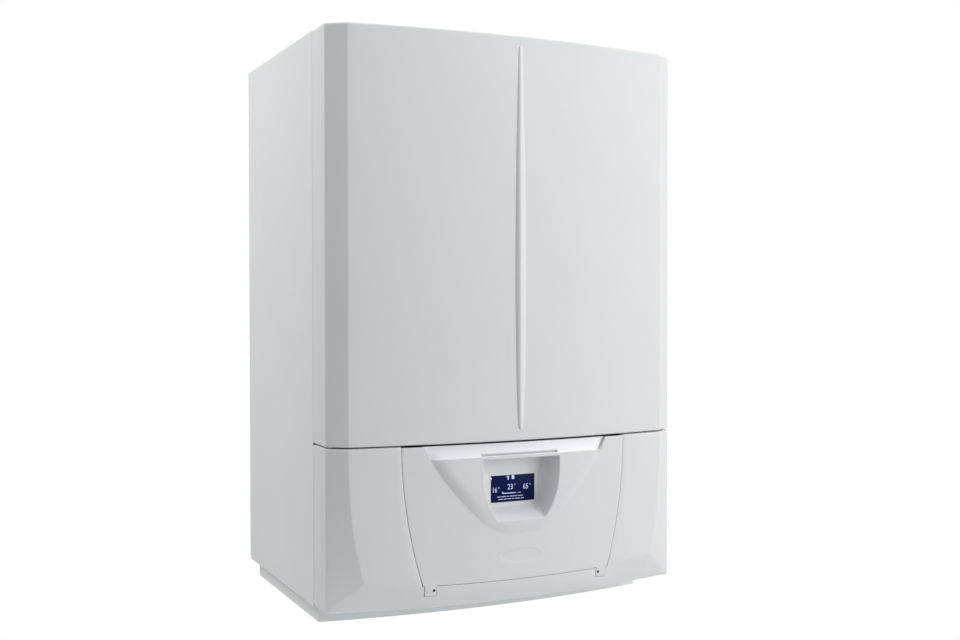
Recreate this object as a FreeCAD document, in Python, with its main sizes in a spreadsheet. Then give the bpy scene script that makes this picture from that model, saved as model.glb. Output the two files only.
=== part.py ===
"""Wall-hung gas combi boiler with a small hot-water store, as a parametric FreeCAD document.

Frame: millimetres, +X to the right seen from the front, +Z up, the wall at y = 0 and the front
towards -Y. The origin lies on the wall, on the centre line, level with the lower edge of the casing.
"""
import FreeCAD, Part
import math
import os
import re
from types import SimpleNamespace

import Sketcher

doc = FreeCAD.newDocument("wall_boiler")
Vector = FreeCAD.Vector

# Driving dimensions: each has one cell of the sheet, and every piece follows these cells.
SIZES = {
    # casing
    "casing_width": 600.0,
    "casing_height": 868.0,
    "side_depth": 434.3,
    "corner_width": 28.9,
    "corner_depth": 19.8,
    "front_bow": 23.5,
    "side_split_depth": 375.0,
    "sheet_wall": 1.2,
    "seam_gap": 0.8,
    "back_setback": 14.0,
    "side_corner_radius": 9.0,
    "cut_overrun": 5.0,
    # front covers
    "cover_wall": 2.5,
    "lower_cover_height": 242.2,
    "lower_cover_base": 3.0,
    "cover_split_gap": 3.0,
    "ridge_width": 22.8,
    "ridge_height": 4.6,
    "ridge_length": 589.0,
    "ridge_foot": 16.0,
    "lower_corner_width": 54.0,
    "chin_height": 38.0,
    "chin_tuck": 5.0,
    # control flap
    "flap_side_margin": 108.0,
    "flap_taper": 64.0,
    "flap_base": 35.5,
    "flap_foot_rise": 2.5,
    "flap_head_gap": 0.8,
    "flap_seam": 1.0,
    "flap_chin_gap": 2.5,
    "flap_wall": 2.5,
    "beak_side_margin": 32.0,
    "beak_foot_width": 110.0,
    "beak_drop": 150.0,
    "beak_flank": 20.0,
    "beak_root": 8.0,
    "beak_rise": 6.2,
    "ledge_height": 19.9,
    "ledge_step": 0.5,
    "ledge_depth": 5.5,
    "bowl_width": 132.0,
    "bowl_foot_width": 80.0,
    "bowl_drop": 23.4,
    "bowl_height": 96.0,
    "bowl_depth": 26.6,
    "bowl_margin": 4.0,
    "hinge_height": 25.0,
    "hinge_proud": 0.37,
    "knuckle_radius": 4.6,
    "knuckle_length": 18.0,
    "knuckle_margin": 12.0,
    "knuckle_room": 1.2,
    "hinge_pin_radius": 1.5,
    "hinge_pin_reach": 3.5,
    "running_clearance": 0.05,
    "cheek_gap": 0.4,
    # display and control panel
    "display_width": 77.0,
    "display_height": 42.0,
    "display_drop": 74.4,
    "display_thickness": 9.0,
    "display_lap": 2.0,
    "display_clearance": 0.4,
    "panel_side_margin": 9.0,
    "panel_base": 48.0,
    "panel_head_gap": 10.4,
    "panel_wall": 2.5,
    "panel_depth": 446.5,
    "control_box_depth": 70.0,
    "control_box_wall": 2.0,
    "box_bracket_height": 60.0,
    "box_bracket_lap": 45.0,
    "box_bracket_flange": 40.0,
    "circuit_board_side_margin": 23.0,
    "circuit_board_margin": 18.0,
    "circuit_board_wall": 1.6,
    "circuit_post_radius": 5.0,
    "circuit_post_height": 22.0,
    "terminal_width": 240.0,
    "terminal_depth": 14.0,
    "terminal_height": 16.0,
    "terminal_margin": 10.0,
    "knob_radius": 19.0,
    "knob_height": 14.0,
    "knob_grip_width": 7.0,
    "knob_spindle_radius": 3.0,
    "knob_spindle_length": 10.0,
    "knob_margin": 63.0,
    "knob_level": 96.0,
    "knob_seat_gap": 0.3,
    "button_radius": 5.5,
    "button_height": 3.4,
    "button_travel": 1.5,
    "button_stem_radius": 2.5,
    "button_stem_length": 7.0,
    "button_pitch": 30.0,
    "button_level": 72.0,
    "gauge_radius": 21.0,
    "gauge_depth": 18.0,
    "gauge_lip": 2.0,
    "gauge_rim": 2.0,
    "gauge_margin": 28.0,
    "gauge_drop": 64.4,
    "gauge_glass_wall": 1.0,
    "gauge_wall": 1.5,
    "dial_setback": 5.5,
    "needle_pin_depth": 3.0,
    "needle_rise": 1.2,
    "needle_length": 13.0,
    "needle_tail": 4.0,
    "needle_width": 1.6,
    "needle_wall": 0.6,
    "needle_hub_radius": 2.2,
    "needle_pin_radius": 0.8,
    "catch_width": 32.0,
    "catch_height": 8.0,
    "screw_head_radius": 3.6,
    "screw_head_height": 2.2,
    "screw_shank_radius": 1.8,
    "screw_shank_length": 6.0,
    "panel_screw_margin": 9.0,
    # sheet-metal frame and wall bracket
    "bracket_width": 460.0,
    "bracket_height": 60.0,
    "bracket_level": 740.0,
    "bracket_wall": 3.0,
    "bracket_hook_height": 14.0,
    "bracket_slot_margin": 30.0,
    "bracket_slot_radius": 4.5,
    "bracket_slot_length": 20.0,
    "hook_clearance": 0.3,
    "bottom_opening_margin": 30.0,
    "bottom_opening_depth": 270.0,
    "bottom_opening_setback": 45.0,
    "shelf_level": 250.0,
    "tray_side_margin": 15.0,
    "tray_height": 31.0,
    "tray_depth": 352.0,
    "tray_bow": 27.0,
    "tray_wall": 1.5,
    "tray_setback": 6.0,
    "hole_clearance": 0.4,
    # combustion module
    "exchanger_across": 155.0,
    "exchanger_level": 600.0,
    "exchanger_radius": 115.0,
    "exchanger_wall": 9.0,
    "exchanger_length": 225.0,
    "exchanger_setback": 105.0,
    "boss_radius": 13.0,
    "boss_level": 480.0,
    "module_bracket_width": 150.0,
    "module_bracket_drop": 26.0,
    "door_lap": 3.0,
    "door_wall": 12.0,
    "door_bolt_circle": 108.0,
    "door_bolt_radius": 4.5,
    "door_bolt_height": 5.0,
    "burner_radius": 33.0,
    "burner_length": 150.0,
    "burner_wall": 1.0,
    "duct_width": 76.0,
    "duct_depth": 28.0,
    "duct_height": 176.0,
    "duct_neck_height": 14.0,
    "duct_wall": 2.0,
    "electrode_spread": 78.0,
    "electrode_rise": 42.0,
    "electrode_radius": 4.0,
    "electrode_length": 24.0,
    "electrode_foot_width": 22.0,
    "electrode_foot_height": 14.0,
    "electrode_foot_wall": 3.0,
    "fan_across": 135.0,
    "fan_level": 395.0,
    "fan_radius": 70.0,
    "fan_width": 50.0,
    "fan_setback": 280.0,
    "fan_wall": 3.0,
    "fan_outlet_width": 52.0,
    "fan_wheel_radius": 58.0,
    "fan_wheel_height": 32.0,
    "fan_motor_radius": 42.0,
    "fan_motor_length": 34.0,
    "shaft_radius": 4.0,
    "shaft_length": 18.0,
    "venturi_radius": 34.0,
    "venturi_bore": 24.0,
    "venturi_length": 40.0,
    "silencer_width": 100.0,
    "silencer_depth": 70.0,
    "silencer_height": 66.0,
    "silencer_neck_radius": 18.0,
    "gas_valve_across": 215.0,
    "gas_valve_width": 60.0,
    "gas_valve_depth": 70.0,
    "gas_valve_height": 90.0,
    "gas_valve_level": 345.0,
    "gas_coil_radius": 13.0,
    "gas_coil_height": 32.0,
    "gas_coil_pitch": 32.0,
    "expansion_vessel_radius": 92.0,
    "expansion_vessel_height": 78.0,
    "expansion_vessel_dome": 20.0,
    "expansion_vessel_level": 580.0,
    "vessel_wall": 1.5,
    "vessel_port": 6.0,
    # flue
    "flue_setback": 150.0,
    "flue_radius": 40.0,
    "flue_wall": 1.2,
    "flue_stub_top": 738.0,
    "collar_radius": 62.5,
    "collar_wall": 2.0,
    "collar_height": 60.0,
    "collar_flange": 14.0,
    "collar_flange_wall": 3.0,
    "flue_seal_height": 10.0,
    "seal_clearance": 0.3,
    # hot-water store
    "tank_across": 140.0,
    "tank_setback": 180.0,
    "tank_radius": 128.0,
    "tank_height": 540.0,
    "tank_dome": 42.0,
    "jacket_wall": 12.0,
    "jacket_floor": 12.0,
    "jacket_gap": 0.3,
    "jacket_lid_height": 16.0,
    # hydraulics
    "plate_exchanger_width": 170.0,
    "plate_exchanger_depth": 55.0,
    "plate_exchanger_height": 75.0,
    "plate_exchanger_level": 62.0,
    "plate_lap": 3.0,
    "plate_wall": 4.0,
    "manifold_length": 130.0,
    "manifold_depth": 40.0,
    "manifold_height": 60.0,
    "manifold_level": 70.0,
    "manifold_setback": 150.0,
    "pump_across": 165.0,
    "pump_radius": 46.0,
    "pump_depth": 45.0,
    "pump_wall": 5.0,
    "pump_motor_radius": 40.0,
    "pump_motor_length": 80.0,
    "pump_wheel_radius": 34.0,
    "pump_wheel_height": 22.0,
    "valve_across": 185.0,
    "valve_radius": 19.0,
    "valve_height": 30.0,
    "valve_bore": 10.0,
    "spindle_radius": 4.0,
    "spindle_length": 36.0,
    "spindle_stroke": 6.0,
    "actuator_width": 56.0,
    "actuator_depth": 56.0,
    "actuator_height": 50.0,
    "safety_across": 112.0,
    "safety_radius": 13.0,
    "safety_length": 36.0,
    "safety_knob_radius": 15.0,
    "safety_knob_height": 20.0,
    "tap_across": 110.0,
    "tap_width": 30.0,
    "tap_height": 34.0,
    "tap_knob_radius": 13.0,
    "tap_knob_height": 18.0,
    "tap_spindle_length": 20.0,
    "knob_gap": 0.3,
    "trap_across": 258.0,
    "trap_setback": 140.0,
    "trap_radius": 27.0,
    "trap_height": 150.0,
    "trap_level": 20.0,
    "trap_neck_radius": 14.0,
    "trap_neck_height": 14.0,
    # pipes and connections
    "pipe_wall": 1.0,
    "riser_radius": 8.0,
    "riser_setback": 185.0,
    "flow_riser_across": 60.0,
    "return_riser_across": 100.0,
    "heating_pipe_radius": 11.0,
    "water_pipe_radius": 7.5,
    "gas_pipe_radius": 11.0,
    "heating_spigot_radius": 13.2,
    "water_spigot_radius": 10.5,
    "gas_spigot_radius": 13.2,
    "gas_link_radius": 7.0,
    "gas_run_level": 195.0,
    "hot_drop_across": 20.0,
    "hot_drop_setback": 130.0,
    "hot_top_rise": 30.0,
    "hot_foot_level": 36.0,
    "pipe_bend": 24.0,
    "connection_pitch": 75.0,
    "connection_setback": 90.0,
    "connection_drop": 70.0,
    "nut_across": 17.0,
    "nut_height": 18.0,
    "gland_across": 232.0,
    "gland_pitch": 36.0,
    "gland_radius": 11.0,
    "gland_height": 14.0,
    "gland_bore": 4.5,
}

# Sizes that follow the driving ones: each is a formula in its own cell of the sheet.
FOLLOWING = {
    "flap_top": "lower_cover_base + lower_cover_height - flap_head_gap",
    "flap_width": "casing_width - 2 * flap_side_margin",
    "flap_foot_width": "flap_width - flap_taper",
    "beak_width": "flap_width - 2 * beak_side_margin",
    "beak_base": "flap_top - beak_drop",
    "ledge_wall": "flap_wall * sqrt(1 + (ledge_depth / ledge_height) ^ 2)",
    "bowl_top": "flap_top - bowl_drop",
    "bowl_base": "bowl_top - bowl_height",
    "knuckle_spacing": "flap_foot_width - 2 * knuckle_margin",
    "display_middle": "flap_top - display_drop",
    "panel_width": "flap_width - 2 * panel_side_margin",
    "panel_height": "flap_top - panel_head_gap - panel_base",
    "circuit_board_width": "panel_width - 2 * circuit_board_side_margin",
    "circuit_board_height": "panel_height - 2 * circuit_board_margin",
    "knob_spread": "panel_width / 2 - knob_margin",
    "gauge_across": "panel_width / 2 - gauge_margin",
    "gauge_level": "flap_top - gauge_drop",
    "bracket_slot_spacing": "bracket_width - 2 * bracket_slot_margin",
    "bottom_opening_width": "casing_width - 2 * bottom_opening_margin",
    "tray_width": "casing_width - 2 * tray_side_margin",
}

sheet = doc.addObject("Spreadsheet::Sheet", "sizes")


def enter_sizes():
    """Write each driving size, then each formula, into a row of the sheet under its own alias."""
    cells = dict(SIZES, **{alias: f"={text}" for alias, text in FOLLOWING.items()})
    for row, (alias, content) in enumerate(cells.items(), start=1):
        sheet.set(f"A{row}", alias)
        sheet.setAlias(f"B{row}", alias)
        sheet.set(f"B{row}", str(content))
    doc.recompute()


def formula(text):
    """Turn a formula written in size names into one that the document understands."""
    def cell(word):
        return f"sizes.{word[0]}" if word[0] in SIZES or word[0] in FOLLOWING else word[0]

    return re.sub(r"[a-z][a-z_]+", cell, text)


def number(text):
    """Give the present value of a formula, in millimetres."""
    return float(sheet.evalExpression(formula(text)))


TURNS = {
    "up": FreeCAD.Rotation(),
    "forward": FreeCAD.Rotation(Vector(1, 0, 0), 90),
    "right": FreeCAD.Rotation(Vector(0, 1, 0), 90),
}
NODES = {}


def node(label, piece):
    """Name a finished sub-part."""
    piece.Label = label
    NODES[label] = piece
    return piece


def place(piece, at, turn="up"):
    """Put a piece at a point given by three formulas, with its axis up, forward or right."""
    piece.Placement = FreeCAD.Placement(Vector(), TURNS[turn])
    for axis, text in zip("xyz", at):
        piece.setExpression(f".Placement.Base.{axis}", formula(text))
    return piece


def box(size, at):
    """Make a block from the formulas of its three lengths and of its lowest corner."""
    piece = doc.addObject("Part::Box", "block")
    for side, text in zip(("Length", "Width", "Height"), size):
        piece.setExpression(side, formula(text))
    return place(piece, at)


def rod(radius, length, at, turn="up"):
    """Make a cylinder from the formulas of its radius, length and start."""
    piece = doc.addObject("Part::Cylinder", "rod")
    piece.setExpression("Radius", formula(radius))
    piece.setExpression("Height", formula(length))
    return place(piece, at, turn)


def join(*pieces):
    """Fuse pieces into one."""
    whole = doc.addObject("Part::MultiFuse", "joined")
    whole.Shapes = list(pieces)
    return whole


def cut(base, *tools):
    """Take one or more pieces away from a base."""
    whole = doc.addObject("Part::Cut", "trimmed")
    whole.Base = base
    whole.Tool = tools[0] if len(tools) == 1 else join(*tools)
    return whole


def group(*pieces):
    """Keep separate solids together as one sub-part."""
    whole = doc.addObject("Part::Compound", "group")
    whole.Links = list(pieces)
    return whole


def formed(shape):
    """Hold a shape made with Part's own functions."""
    piece = doc.addObject("Part::Feature", "form")
    piece.Shape = shape
    return piece


def outline(body, plane, points):
    """Draw a closed polygon in a body's own plane, each corner bound to its two formulas."""
    sketch = body.newObject("Sketcher::SketchObject", "outline")
    sketch.AttachmentSupport = (next(f for f in body.Origin.OriginFeatures if f.Role == plane), [""])
    sketch.MapMode = "FlatFace"
    corners = [Vector(number(across), number(along), 0) for across, along in points]
    for index, corner in enumerate(corners):
        sketch.addGeometry(Part.LineSegment(corner, corners[(index + 1) % len(corners)]))
    for index in range(len(corners)):
        following = (index + 1) % len(corners)
        sketch.addConstraint(Sketcher.Constraint("Coincident", index, 2, following, 1))
    for index, pair in enumerate(points):
        for kind, text, axis in zip(("DistanceX", "DistanceY"), pair, (-2, -1)):
            if text == "0":
                sketch.addConstraint(Sketcher.Constraint("PointOnObject", index, 1, axis))
                continue
            place_of = sketch.addConstraint(Sketcher.Constraint(kind, -1, 1, index, 1, number(text)))
            sketch.setExpression(f"Constraints[{place_of}]", formula(text))
    return sketch


def padded(plane, points, length, at, turn="up"):
    """Make a body by padding a polygon."""
    body = doc.addObject("PartDesign::Body", "body")
    pad = body.newObject("PartDesign::Pad", "pad")
    pad.Profile = outline(body, plane, points)
    pad.setExpression("Length", formula(length))
    body.Tip = pad
    return place(body, at, turn)


def turned(points, at, turn="up"):
    """Make a body by turning a polygon of radius and height about its own axis."""
    body = doc.addObject("PartDesign::Body", "body")
    sketch = outline(body, "XZ_Plane", points)
    turning = body.newObject("PartDesign::Revolution", "turning")
    turning.Profile = sketch
    turning.ReferenceAxis = (sketch, ["V_Axis"])
    turning.Angle = 360.0
    body.Tip = turning
    return place(body, at, turn)


enter_sizes()
s = SimpleNamespace(**{alias: number(alias) for alias in (*SIZES, *FOLLOWING)})

# Plan of the front: an arc between two slanted corners. Depths are measured from the wall.
half_width = s.casing_width / 2
front_edge = half_width - s.corner_width
front_depth = s.side_depth + s.corner_depth + s.front_bow
front_radius = (front_edge ** 2 + s.front_bow ** 2) / (2 * s.front_bow)
upper_cover_base = s.lower_cover_base + s.lower_cover_height + s.cover_split_gap
upper_cover_height = s.casing_height - upper_cover_base
cover_back = s.side_split_depth + s.seam_gap / 2


def bow_depth(across):
    """Depth of the bowed front at a distance from the centre line."""
    return front_depth - front_radius + math.sqrt(front_radius ** 2 - across ** 2)


def bow(inset, low, high):
    """Upright cylinder whose front is the bowed front, moved back by an inset."""
    axis = Vector(0, front_radius - front_depth, low)
    return Part.makeCylinder(front_radius - inset, high - low, axis)


def prism(edges, low, high):
    """Extrude a closed outline, drawn in the XZ plane, between two depths from the wall."""
    face = Part.Face(Part.Wire(edges))
    face.translate(Vector(0, -high, 0))
    return face.extrude(Vector(0, high - low, 0))


def cover_wire(level, corner, tuck, shrink, inset, back):
    """Plan of a front cover at one level, inset by a wall thickness.

    The front is drawn back by the tuck, and the start of the slanted corner by the shrink.
    """
    side = s.side_depth - shrink
    edge = half_width - corner
    edge_depth = bow_depth(edge) - tuck
    run = math.hypot(corner, edge_depth - side)
    along = Vector(-corner / run, (edge_depth - side) / run)
    outward = Vector(along.y, -along.x)
    level_line = outward.x * half_width + outward.y * side - inset
    beside = Vector(half_width - inset, (level_line - outward.x * (half_width - inset)) / outward.y)
    centre = front_depth - tuck - front_radius
    from_centre = Vector(beside.x, beside.y - centre)
    reach = from_centre.dot(along)
    gap = from_centre.dot(from_centre) - (front_radius - inset) ** 2
    bend = beside + along * (math.sqrt(reach ** 2 - gap) - reach)

    def point(sign, corner_point):
        return Vector(sign * corner_point.x, -corner_point.y, level)

    rear = Vector(half_width - inset, back)
    apex = Vector(0, inset + tuck - front_depth, level)
    turns = [point(-1, rear), point(-1, beside), point(-1, bend)]
    returns = [point(1, bend), point(1, beside), point(1, rear)]
    edges = [Part.LineSegment(a, b).toShape() for a, b in zip(turns, turns[1:])]
    edges.append(Part.Arc(turns[-1], apex, returns[0]).toShape())
    edges += [Part.LineSegment(a, b).toShape() for a, b in zip(returns, returns[1:])]
    edges.append(Part.LineSegment(returns[-1], turns[0]).toShape())
    return Part.Wire(edges)


def side_panel(label, sign):
    """Flat steel side with a rounded lower rear corner."""
    length = "side_split_depth - seam_gap / 2"
    body = padded("YZ_Plane", [("0", "0"), (length, "0"), (length, "casing_height"),
                               ("0", "casing_height")],
                  "sheet_wall", (f"{sign} * casing_width / 2 - (1 + {sign}) / 2 * sheet_wall",
                                 f"-({length})", "0"))
    doc.recompute()
    pad = body.Tip
    rear_foot = Vector(s.sheet_wall / 2, number(length), 0)
    nearest = min(range(len(pad.Shape.Edges)),
                  key=lambda i: pad.Shape.Edges[i].CenterOfMass.distanceToPoint(rear_foot))
    fillet = body.newObject("PartDesign::Fillet", "rounding")
    fillet.Base = (pad, [f"Edge{nearest + 1}"])
    fillet.setExpression("Radius", formula("side_corner_radius"))
    body.Tip = fillet
    return node(label, body)


def upper_cover():
    """Bowed upper front with its side returns, closed top and lens-shaped centre ridge."""
    outer = Part.Face(cover_wire(upper_cover_base, s.corner_width, 0, 0, 0, cover_back))
    outer = outer.extrude(Vector(0, 0, upper_cover_height))
    inner = Part.Face(cover_wire(upper_cover_base - s.cut_overrun, s.corner_width, 0, 0,
                                 s.cover_wall, cover_back - s.cut_overrun))
    inner = inner.extrude(Vector(0, 0, upper_cover_height + s.cut_overrun - s.cover_wall))
    foot = upper_cover_base + s.ridge_foot
    # Height shares and width shares of the ridge, from its rounded foot to its blunt top.
    ridge_shares = ((0, 0.45), (0.02, 0.66), (0.15, 0.88), (0.45, 1), (0.75, 0.88), (0.95, 0.55), (1, 0.45))
    root_share = 0.1
    sections = []
    for height_share, width_share in ridge_shares:
        level = foot + height_share * s.ridge_length
        reach = width_share * s.ridge_width / 2
        rise = width_share * s.ridge_height
        # The flanks run on into the wall, so that they cross its face.
        root = root_share * rise - bow_depth(reach)
        side = (1 + root_share) * reach
        corners = [Vector(-side, root, level), Vector(0, -front_depth - rise, level), Vector(side, root, level)]
        sections.append(Part.makePolygon(corners + corners[:1]))
    ridge = Part.makeLoft(sections, True, True)
    return node("upper_front_cover", formed(outer.cut(inner).fuse(ridge).removeSplitter()))


def flap_edges(grow, drop, top):
    """Outline of the control flap in the XZ plane, grown at the sides and dropped at the foot."""
    foot = s.flap_base - drop
    heel = Vector(s.flap_foot_width / 2 + grow, 0, foot + s.flap_foot_rise)
    head = Vector(s.flap_width / 2 + grow, 0, top)
    side_bulge_share = 0.24
    waist = (heel + head) / 2 + Vector(side_bulge_share * (head.x - heel.x), 0, 0)

    def mirrored(corner):
        return Vector(-corner.x, 0, corner.z)

    return [Part.Arc(heel, waist, head).toShape(),
            Part.LineSegment(head, mirrored(head)).toShape(),
            Part.Arc(mirrored(head), mirrored(waist), mirrored(heel)).toShape(),
            Part.Arc(mirrored(heel), Vector(0, 0, foot), heel).toShape()]


def beak_edges(grow):
    """Outline of the raised V of the flap in the XZ plane, grown all round but at its top."""
    top = s.flap_top + s.cut_overrun
    head = Vector(s.beak_width / 2 + grow, 0, top)
    heel = Vector(s.beak_foot_width / 2 + grow, 0, s.beak_base - grow + s.flap_foot_rise)
    side_bulge_share = 0.045
    waist = (heel + head) / 2 + Vector(side_bulge_share * s.beak_width, 0, 0)
    foot = Vector(0, 0, s.beak_base - grow)

    def mirrored(corner):
        return Vector(-corner.x, 0, corner.z)

    return [Part.Arc(heel, waist, head).toShape(),
            Part.LineSegment(head, mirrored(head)).toShape(),
            Part.Arc(mirrored(head), mirrored(waist), mirrored(heel)).toShape(),
            Part.Arc(mirrored(heel), foot, heel).toShape()]


def beak(shift, high):
    """Raised V with its slanted flanks up to a level, moved back by a wall."""
    root = Part.Wire(beak_edges(0))
    root.translate(Vector(0, s.beak_root - front_depth, 0))
    crest = Part.Wire(beak_edges(-s.beak_flank))
    crest.translate(Vector(0, -front_depth - s.beak_rise, 0))
    block = Part.makeLoft([root, crest], True, True)
    block = block.common(bow(-s.beak_rise, s.flap_base, high))
    block.translate(Vector(0, shift, 0))
    return block


def frustum(grow, front, back):
    """Tapered bowl from its rim on the front to the display's window, grown by a wall."""
    window_half = s.display_width / 2 + s.bowl_margin + grow
    window_low = s.display_middle - s.display_height / 2 - s.bowl_margin - grow
    window_high = s.bowl_top - s.bowl_margin + grow
    rim_half, foot_half = s.bowl_width / 2 + grow, s.bowl_foot_width / 2 + grow
    low, high = s.bowl_base - grow, s.bowl_top + grow

    def quad(depth, bottom, top, bottom_half, top_half):
        corners = [Vector(-bottom_half, -depth, bottom), Vector(bottom_half, -depth, bottom),
                   Vector(top_half, -depth, top), Vector(-top_half, -depth, top)]
        return Part.makePolygon(corners + corners[:1])

    rim = quad(front, low, high, foot_half, rim_half)
    window = quad(back, window_low, window_high, window_half, window_half)
    return Part.makeLoft([rim, window], True, True)


def ledge_core(shift, low):
    """What lies behind the slanted finger ledge along the flap's top, moved back by a shift."""
    high = s.flap_top + s.cut_overrun
    slope = s.ledge_depth / s.ledge_height
    start = front_radius - s.ledge_step - shift - slope * (low - s.flap_top + s.ledge_height)
    axis = Vector(0, front_radius - front_depth, low)
    return Part.makeCone(start, start - slope * (high - low), high - low, axis)


hinge_depth = bow_depth(s.knuckle_spacing / 2) + s.hinge_proud


def knuckle_places():
    """Distances of the two flap hinges from the centre line."""
    return (-s.knuckle_spacing / 2, s.knuckle_spacing / 2)


def across_rod(radius, length, across):
    """Cylinder along X on the flap's hinge line, centred at a distance from the centre line."""
    start = Vector(across - length / 2, -hinge_depth, s.hinge_height)
    return Part.makeCylinder(radius, length, start, Vector(1, 0, 0))


def control_flap():
    """Drop-down flap: bowed skin, raised V with a finger ledge, and a bowl round the window."""
    low, high = s.flap_base - s.cut_overrun, s.flap_top
    over = high + s.cut_overrun
    front, back = front_depth + s.beak_rise, front_depth - s.bowl_depth
    outer = prism(flap_edges(0, 0, s.flap_top), 0, front + s.cut_overrun)
    skin = bow(0, low, high).cut(bow(s.flap_wall, low, high))
    raised, hollow = beak(0, high), beak(s.flap_wall, over)
    shell = raised.cut([hollow, bow(s.flap_wall, low, over)])
    ledge_foot = high - s.ledge_height

    def ledge_slab(grow, base, front_end):
        slab = prism(beak_edges(grow), back - s.flap_wall, front_end)
        return slab.common(bow(-s.beak_rise - s.cut_overrun, base, over))

    ledge_block = ledge_slab(s.flap_wall, ledge_foot - s.flap_wall, front)
    ledge_block = ledge_block.cut(ledge_core(s.ledge_wall, ledge_foot - s.flap_wall))
    ledge_block = ledge_block.common(bow(0, low, high).fuse(raised))
    bowl_block = frustum(s.flap_wall, front, back - s.flap_wall).common(bow(-s.beak_rise, low, high))
    solid = skin.cut(hollow).fuse([shell, ledge_block, bowl_block]).common(outer)
    ledge_air = ledge_slab(0, ledge_foot, front + s.cut_overrun).cut(ledge_core(0, ledge_foot))
    bowl_air = frustum(0, front, back)
    window = Part.makeBox(s.display_width, s.bowl_depth, s.display_height,
                          Vector(-s.display_width / 2, -back - s.flap_wall,
                                 s.display_middle - s.display_height / 2))
    solid = solid.cut([ledge_air, bowl_air, window])
    for across in knuckle_places():
        web_height = s.flap_base - s.hinge_height + s.knuckle_radius
        web = Part.makeBox(s.knuckle_length, s.knuckle_radius, web_height,
                           Vector(across - s.knuckle_length / 2, -hinge_depth - s.knuckle_radius / 2,
                                  s.hinge_height))
        solid = solid.fuse([across_rod(s.knuckle_radius, s.knuckle_length, across), web])
        bore = across_rod(s.hinge_pin_radius + s.running_clearance, s.knuckle_length + s.cut_overrun, across)
        solid = solid.cut(bore)
    return node("control_flap", formed(solid.removeSplitter()))


def lower_cover():
    """Lower front frame round the flap: two wings, a tucked chin, a floor and the hinge cheeks."""
    top = s.lower_cover_base + s.lower_cover_height
    spread = s.lower_corner_width - s.corner_width
    # Height shares above the chin and shares of the corner's spread at each level.
    corner_shares = ((1, 0), (0.66, 0.06), (0.37, 0.32), (0.2, 0.62), (0, 1))
    levels = [(s.chin_height + h * (top - s.chin_height), s.corner_width + c * spread, 0, 0)
              for h, c in corner_shares]
    levels.append((s.lower_cover_base, s.lower_corner_width + s.chin_tuck, s.chin_tuck, s.chin_tuck))

    def loft(inset, back):
        return Part.makeLoft([cover_wire(z, c, t, k, inset, back) for z, c, t, k in levels], True, True)

    above_floor = Part.makeBox(s.casing_width, front_depth, s.casing_height,
                               Vector(-half_width, -front_depth, s.lower_cover_base + s.cover_wall))
    inner = loft(s.cover_wall, cover_back - s.cut_overrun).common(above_floor)
    solid = loft(0, cover_back).cut(inner)
    opening = prism(flap_edges(s.flap_seam, s.flap_chin_gap, top + s.cut_overrun), cover_back,
                    front_depth + s.cut_overrun)
    solid = solid.cut(opening)
    cheek_start = s.knuckle_length / 2 + s.cheek_gap
    room = s.knuckle_radius + s.knuckle_room
    for across in knuckle_places():
        notch = Part.makeBox(2 * cheek_start, 2 * room, s.flap_base - s.hinge_height + room,
                             Vector(across - cheek_start, -hinge_depth - room, s.hinge_height - room))
        solid = solid.cut(notch)
        for sign in (-1, 1):
            middle = across + sign * (cheek_start + s.hinge_pin_reach / 2)
            cheek = Part.makeBox(s.hinge_pin_reach, 2 * s.knuckle_radius, 2 * s.knuckle_radius,
                                 Vector(middle - s.hinge_pin_reach / 2, -hinge_depth - s.knuckle_radius,
                                        s.hinge_height - s.knuckle_radius))
            solid = solid.fuse(cheek)
        bore = s.knuckle_length + 2 * s.hinge_pin_reach + 2 * s.cut_overrun
        solid = solid.cut(across_rod(s.hinge_pin_radius + s.running_clearance, bore, across))
    return node("lower_front_cover", formed(solid.removeSplitter()))


def hinge_pins():
    """Steel pins of the flap, one through each knuckle and its two cheeks."""
    length = s.knuckle_length + 2 * s.hinge_pin_reach
    pins = [across_rod(s.hinge_pin_radius, length, across) for across in knuckle_places()]
    return node("flap_hinge_pins", formed(Part.makeCompound(pins)))


side_panel("left_side_panel", -1)
side_panel("right_side_panel", 1)
upper_cover()
lower_cover()
control_flap()
hinge_pins()


def back_panel():
    """Steel back with the folded rail that hangs on the wall bracket."""
    width = "casing_width - 2 * sheet_wall"
    plate = box((width, "sheet_wall", "casing_height - sheet_wall"),
                ("-casing_width / 2 + sheet_wall", "-back_setback", "0"))
    hook_top = "bracket_level + bracket_height + bracket_hook_height + hook_clearance"
    reach = "2 * bracket_wall + hook_clearance"
    face = "-back_setback + sheet_wall"
    shelf = box(("bracket_width", reach, "bracket_wall"), ("-bracket_width / 2", face, hook_top))
    lip = box(("bracket_width", "bracket_wall", "bracket_hook_height"),
              ("-bracket_width / 2", f"{face} + bracket_wall + hook_clearance",
               f"{hook_top} + bracket_wall - bracket_hook_height"))
    return node("back_panel", join(plate, shelf, lip))


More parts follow.
